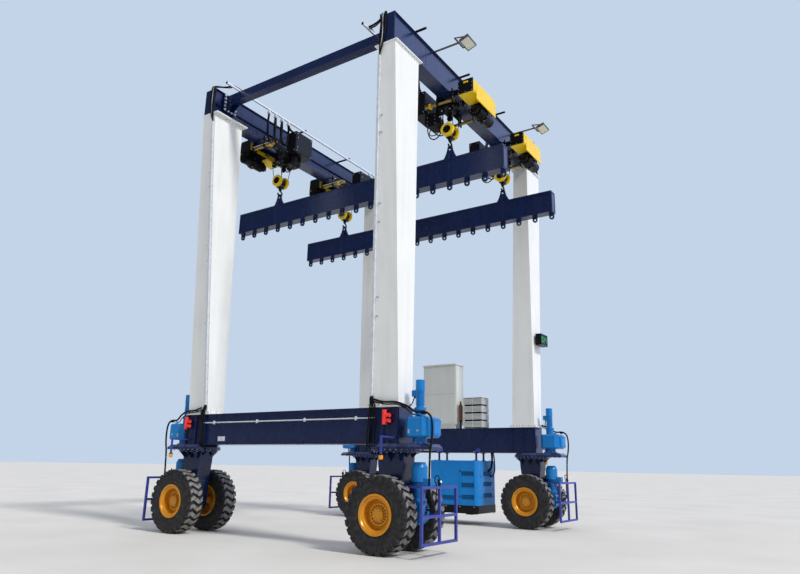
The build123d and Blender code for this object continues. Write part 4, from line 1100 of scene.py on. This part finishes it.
doors, hinges, locks, blades = [], [], [], []
for face, out in GENERATOR_FACES:
    raised = sorted((face, face + out * FRAME_BAR))
    flush = sorted((face - out * 0.001, face + out * 0.0015))
    for x0, x1 in ((-0.020, 0.330), (0.350, 0.925), (0.945, 1.430)):
        doors += rim((x0, x1), raised, DOOR_HEIGHT, SEAM)
    doors.append(slab((-0.05, 1.46), sorted((face - out * 0.002, face + out * 0.006)),
                      (1.800, 1.812)))
    pin = face + out * 0.006
    hinges += [rod((x, pin, z - 0.030), (x, pin, z + 0.030), 0.006, 10)
               for x in (0.362, 1.418, 0.318) for z in (0.72, 1.52)]
    locks += [turned(((0, 0), (0.022, 0), (0.022, 0.008), (0.012, 0.012), (0, 0.012)),
                     (0.955, face, z), (0, out, 0), 20) for z in (1.555, 0.80)]
    for (x, half), z in ((END_LOUVRES, 1.485), (END_LOUVRES, 1.145), (END_LOUVRES, 0.800),
                         (MID_LOUVRE, 0.770)):
        blades += [slab((x - half, x + half), flush, (z + low, z + low + 0.017))
                   for low in (0.0155, -0.0325)]
        for k in range(1, 7):
            bar = x - half + 2 * k * half / 7
            doors.append(slab((bar - 0.004, bar + 0.004),
                              sorted((face - out * 0.004, face + out * 0.004)),
                              (z - 0.064, z + 0.064)))
        doors += rim((x - half - 0.014, x + half + 0.014), raised, (z - 0.080, z + 0.080), SEAM)
for z in (1.485, 1.175, 0.845):
    blades += [slab((GENERATOR_END, GENERATOR_END + 0.0025), (3.460, 4.020),
                    (z + step - 0.0085, z + step + 0.0085)) for step in (-0.024, 0.024)]
    for k in range(1, 9):
        y = 3.460 + k * 0.560 / 9
        doors.append(slab((1.526, 1.534), (y - 0.004, y + 0.004), (z - 0.064, z + 0.064)))
    doors += rim((1.530, 1.534), (3.446, 4.034), (z - 0.080, z + 0.080), SEAM)
hinges += [rod((1.538, y, z - 0.03), (1.538, y, z + 0.03), 0.008, 10)
           for y in (3.30, 4.16) for z in (0.80, 1.40)]
hinges += [turned(((0, 0), (0.026, 0), (0.026, 0.010), (0.014, 0.010), (0.014, 0.026),
                   (0, 0.028)), (x, y, 1.870), UP, 20) for x in (0.02, 1.39) for y in (3.13, 4.23)]
tank_parts = bolt_grid((-0.02, 0.47, 0.95, 1.43), (3.020,), (0.52,), FRONT, 0.014)
tank_parts += bolt_grid((-0.02, 0.47, 0.95, 1.43), (4.340,), (0.52,), BACK, 0.014)
tank_parts += [hose([(x, y, 0.335), (x + 0.01, y, 0.312), (x + 0.03, y, 0.302),
                     (x + 0.05, y, 0.312), (x + 0.055, y, 0.328)], 0.007)
               for x in (1.45, -0.04) for y in (3.08, 4.26)]
supply = [hose([(1.60, 3.93, 2.112), (1.615, 3.93, 2.00), (1.625, 3.90, 1.86),
                (1.620, 3.86, 1.72), (1.590, 3.83, 1.61), (1.530, 3.82, 1.57)], 0.033, 12),
          hose([(1.69, 3.86, 2.112), (1.71, 3.87, 1.98), (1.71, 3.90, 1.80),
                (1.69, 3.94, 1.58), (1.62, 3.96, 1.44), (1.530, 3.96, 1.40)], 0.020, 10),
          turned(((0, 0), (0.048, 0), (0.048, 0.020), (0.038, 0.028), (0, 0.028)),
                 (GENERATOR_END, 3.82, 1.57), (1, 0, 0), 20),
          turned(((0, 0), (0.032, 0), (0.032, 0.016), (0, 0.020)),
                 (GENERATOR_END, 3.96, 1.40), (1, 0, 0), 20)]
piece("generator_doors", "frame", blue_paint, doors)
piece("generator_louvre_blades", "frame", deep_blue, blades)
piece("generator_hinges", "frame", blue_paint, hinges)
piece("generator_locks", "frame", cable_sheath, locks)
piece("generator_tank_fittings", "frame", zinc, tank_parts)
piece("generator_supply_hose", "frame", cable_sheath, supply)

# Heat has left the bare steel brown, blotched and without gloss.
rusted = painted_steel("heat_browned_exhaust_steel", "#7A4A2C", "#5A3420", gloss=0.7,
                       dust="#4B3B30", dusty=0.3)
CAN_AT = (0.745, 3.50)
silencer = [turned(((0, 0), (0.030, 0), (0.030, 0.20), (0.055, 0.23), (0.058, 0.25),
                    (0.058, 0.72), (0.052, 0.75), (0.028, 0.77), (0.028, 0.86), (0.022, 0.86),
                    (0.022, 0.80), (0, 0.80)), (*CAN_AT, 2.853), UP, 28)]
silencer += [turned(((0.057, 0), (0.061, 0.002), (0.061, 0.022), (0.057, 0.024)), (*CAN_AT, z),
                    UP, 28) for z in (3.14, 3.50)]
silencer_can = piece("exhaust_silencer", "frame", rusted, silencer)
part_coat(black_paint, silencer_can, lambda at: at.z < 3.13)


# Control cabinet and braking resistors
# Powder-coated sheet in pale grey: doors with rubber-sealed seams, black handles and hinges,
# and slotted panels round the resistor grids.

# The pale grey coat is half dull, so the doors look flat and even.
grey_paint = painted_steel("light_grey_powder_coat", "#CDD1CE", "#C6CAC7", gloss=0.46)
coat(grey_paint, "control_cabinet", "resistor_bank")
part_coat(black_paint, nodes["resistor_bank"], lambda at: 2.88 < at.z < 3.795)

CABINET_Z = (3.020, 4.870)            # foot and head of the doors
CABINET_FRONT, CABINET_BACK = 3.380, 3.900
DOOR_FACE = CABINET_BACK + 0.012
cabinet_doors, cabinet_black = [], []
for z0, z1 in ((CABINET_Z[0], 3.955), (3.965, CABINET_Z[1])):
    cabinet_doors.append(slab((-0.555, 0.605), (CABINET_FRONT - 0.012, CABINET_FRONT), (z0, z1)))
    cabinet_doors += [rod((x, CABINET_FRONT - 0.018, z), (x, CABINET_FRONT - 0.010, z), 0.008, 10)
                      for x in (-0.535, 0.025, 0.585) for z in (z0 + 0.03, z1 - 0.03)]
for x0, x1 in ((-0.560, -0.185), (-0.175, 0.210), (0.220, 0.610)):
    cabinet_doors.append(slab((x0, x1), (CABINET_BACK, DOOR_FACE), CABINET_Z))
    pin = (x0 + 0.012, DOOR_FACE + 0.006)
    cabinet_black += [rod((*pin, z - 0.04), (*pin, z + 0.04), 0.008, 10)
                      for z in (3.18, 3.95, 4.70)]
    cabinet_black.append(slab((x1 - 0.055, x1 - 0.030), (DOOR_FACE, DOOR_FACE + 0.010),
                              (3.86, 4.06)))
    cabinet_black.append(slab((x1 - 0.052, x1 - 0.033), (DOOR_FACE + 0.010, DOOR_FACE + 0.026),
                              (3.88, 3.98)))
for y0, y1 in ((3.400, 3.635), (3.645, 3.880)):
    for x, out in ((0.630, 1), (-0.580, -1)):
        cabinet_doors.append(slab(sorted((x, x + out * 0.010)), (y0, y1), CABINET_Z))
        cabinet_black += [rod((x + out * 0.008, y, z), (x + out * 0.014, y, z), 0.007, 10)
                          for z in (3.10, 4.79) for y in (y0 + 0.02, y1 - 0.02)]
cabinet_black += [slab((x, x + 0.22), (DOOR_FACE - 0.002, DOOR_FACE + 0.004),
                       (3.16 + 0.035 * k, 3.17 + 0.035 * k))
                  for k in range(6) for x in (-0.48, -0.09, 0.30)]
slats = []
for i in range(4):
    base = 2.873 + 0.236 * i
    for j in range(5):
        z = (base + 0.018 + 0.038 * j, base + 0.044 + 0.038 * j)
        slats += [slab((0.918, 1.532), y, z) for y in ((3.388, 3.402), (3.858, 3.872))]
        slats += [slab(x, (3.418, 3.842), z) for x in ((0.888, 0.902), (1.548, 1.562))]
    z = (base + 0.004, base + 0.208)
    slats += [slab((x, x + 0.020), y, z) for y in ((3.386, 3.401), (3.859, 3.874))
              for x in (0.903, 1.215, 1.527)]
    slats += [slab(x, (y, y + 0.020), z) for x in ((0.886, 0.901), (1.549, 1.564))
              for y in (3.403, 3.837)]
    for x, z in product((0.913, 1.537), (base + 0.022, base + 0.190)):
        cabinet_black += [rod((x, face, z), (x, tip, z), 0.006, 8)
                          for face, tip in ((3.387, 3.380), (3.873, 3.880))]
piece("cabinet_doors", "frame", grey_paint, cabinet_doors, bevel=0.003)
piece("cabinet_fittings", "frame", cable_sheath, cabinet_black)
piece("resistor_slats", "frame", grey_paint, slats)


# Floodlights, beacons, horns and load display
# Cast lamp housings with a pale prismatic glass, amber beacons, red plastic horns, and a black
# display with lit green figures.

# The horns' red is strong and smooth, the lamp housings' dark grey plain and half dull.
red_plastic = moulded("red_moulded_plastic", "#F23A2E", rough=0.36)
lamp_cast = painted_steel("grey_cast_lamp_housing", "#4E5154", "#5A5D60", gloss=0.5)
coat(lamp_cast, "floodlights")
# beacon bodies in the lighter violet blue, which is painted sunlight on the navy
coat(sunlit_navy_paint, "beacons")
coat(red_plastic, "horns")
coat(black_paint, "load_display")
part_coat(amber_lens, nodes["beacons"], lambda at: at.z < 1.879)
part_coat(black_paint, nodes["horns"], lambda at: 2.60 < at.z < 2.68
          and abs(at.y) < FRAME_Y + 0.345)


def prismatic_glass():
    """Pressed lamp glass: pale greenish grey, glossy, with fine prisms 15 mm apart."""
    made = blank_material("pressed_prismatic_glass")
    tree = made.node_tree
    place = add(tree, "TexCoord").outputs["Object"]
    waves = add(tree, "TexWave", {"Vector": place, "Scale": 1 / 0.05, "Distortion": 0.3},
                bands_direction="Y")
    tint = add(tree, "Mix", {0: waves.outputs["Fac"], 6: tone("#C6C8B8"), 7: tone("#E6E7DA")},
               data_type="RGBA")
    bump = add(tree, "Bump", {"Height": waves.outputs["Fac"], "Strength": 0.3,
                              "Distance": 0.003})
    glass = add(tree, "BsdfPrincipled", {"Base Color": tint.outputs[2], "Roughness": 0.12,
                                         "IOR": 1.5, "Normal": bump.outputs[0]})
    add(tree, "OutputMaterial", {"Surface": glass.outputs[0]})
    return made


def green_diode():
    """Lit figures of the display: green, brightest along the middle of each bar."""
    made = blank_material("green_diode_segments")
    tree = made.node_tree
    place = add(tree, "TexCoord").outputs["Object"]
    dots = add(tree, "TexVoronoi", {"Vector": place, "Scale": 1 / 0.018})
    glow = add(tree, "MapRange", {0: dots.outputs["Distance"], 1: 0.1, 2: 0.8, 3: 1.6, 4: 0.9})
    face = add(tree, "BsdfPrincipled", {"Base Color": tone("#0E3B1C"), "Roughness": 0.4,
                                        "Emission Color": tone("#2FD45A"),
                                        "Emission Strength": glow.outputs[0]})
    add(tree, "OutputMaterial", {"Surface": face.outputs[0]})
    return made


lamp_glass, lamp_frame, signal_black = [], [], []
lens_rings, horn_bells = [], []

# floodlights: glass in a frame of four bars, cooling fins, side bolts and a cable on the arm
fins = [slab((-0.125, 0.125), (y - 0.004, y + 0.004), (0.028, 0.044))
        for y in [-0.20 + 0.05 * k for k in range(9)]]
frame_bars = [slab((-0.135, 0.135), y, (-0.040, -0.026)) for y in ((-0.231, -0.208),
                                                                    (0.208, 0.231))]
frame_bars += [slab(x, (-0.208, 0.208), (-0.040, -0.026)) for x in ((-0.135, -0.112),
                                                                     (0.112, 0.135))]
frame_bars.append(slab((-0.06, 0.05), (-0.09, 0.09), (0.028, 0.058)))
for y in (-2.54, 2.54):
    lamp = Matrix.Translation((4.26, y, 12.05)) @ Matrix.Rotation(radians(-20), 4, "Y")
    lamp_glass += moved([slab((-0.112, 0.112), (-0.208, 0.208), (-0.034, -0.028))], lamp)
    side_bolts = hex_bolt((0, -0.2385, 0), FRONT, 0.016) + hex_bolt((0, 0.2385, 0), BACK, 0.016)
    lamp_frame += moved(frame_bars + fins + side_bolts, lamp)
    signal_black.append(hose([(4.20, y, 12.11), (4.12, y + 0.03, 12.17),
                              (4.02, y + 0.03, 12.175), (3.80, y + 0.022, 12.165),
                              (3.50, y + 0.022, 12.165), (3.30, y + 0.02, 12.165),
                              (3.20, y, 12.135)], 0.008))

# beacons: rings and foot of the lens, black cap
for sx, sy in ALL_SIDES:
    at = (sx * 3.20, sy * 4.422)
    lens_rings += [turned(((0.044, 0), (0.047, 0.003), (0.047, 0.009), (0.044, 0.012)),
                          (*at, z), UP, 24) for z in (1.812, 1.834, 1.856)]
    lens_rings.append(turned(((0.044, 0), (0.030, -0.014), (0, -0.018)), (*at, 1.801), UP, 24))
    signal_black.append(turned(((0, 0), (0.049, 0), (0.049, 0.014), (0.030, 0.018), (0, 0.018)),
                               (*at, 1.872), UP, 24))

# horns: two flared bells, rings round the body, gland and wire
for x, side in product((-3.20, 3.00), (-1, 1)):
    y = side * 4.044
    horn_bells += [turned(((0.036, 0.100), (0.039, 0.116), (0.046, 0.134), (0.041, 0.136),
                           (0.024, 0.112), (0, 0.110)), (x, y, z), (1, 0, 0), 28)
                   for z in (2.57, 2.68)]
    horn_bells += [turned(((0.047, 0), (0.051, 0.003), (0.051, 0.011), (0.047, 0.014)),
                          (x, y, z), UP, 28) for z in (2.505, 2.775)]
    signal_black.append(rod((x, y, 2.492), (x, y, 2.470), 0.018, 12))
    signal_black.append(hose([(x, y, 2.475), (x + 0.01, y, 2.38), (x + 0.04, side * 4.01, 2.26),
                              (x + 0.09, side * 3.975, 2.18), (x + 0.10, side * 3.95, 2.12)],
                             0.008))

# display: dark screen, corner screws and three plain figures built from bars
signal_black.append(slab((3.529, 3.531), (3.606, 4.034), (5.396, 5.654)))
signal_black += bolt_grid((3.540,), (3.568, 4.072), (5.358, 5.692), (1, 0, 0), 0.008)
DIGIT_BARS = {"0": "abcdef", "2": "abged", "4": "fgbc"}
BAR_SPANS = {"a": ((-0.035, 0.035), (0.078, 0.090)), "g": ((-0.035, 0.035), (-0.006, 0.006)),
             "d": ((-0.035, 0.035), (-0.090, -0.078)), "f": ((-0.046, -0.034), (0.008, 0.080)),
             "b": ((0.034, 0.046), (0.008, 0.080)), "e": ((-0.046, -0.034), (-0.080, -0.008)),
             "c": ((0.034, 0.046), (-0.080, -0.008))}
FIGURE_Z = 5.525
segments = []
for middle, digit in ((3.68, "0"), (3.82, "2"), (3.96, "4")):
    for bar in DIGIT_BARS[digit]:
        (y0, y1), (z0, z1) = BAR_SPANS[bar]
        segments.append(slab((3.530, 3.534), (middle + y0, middle + y1),
                             (FIGURE_Z + z0, FIGURE_Z + z1)))
piece("floodlight_glass", "frame", prismatic_glass(), lamp_glass, bevel=0.002)
piece("floodlight_frames", "frame", lamp_cast, lamp_frame, bevel=0.002)
piece("beacon_lenses", "frame", amber_lens, lens_rings)
piece("horn_bells", "frame", red_plastic, horn_bells)
piece("signal_wiring", "frame", cable_sheath, signal_black)
piece("display_figures", "frame", green_diode(), segments)
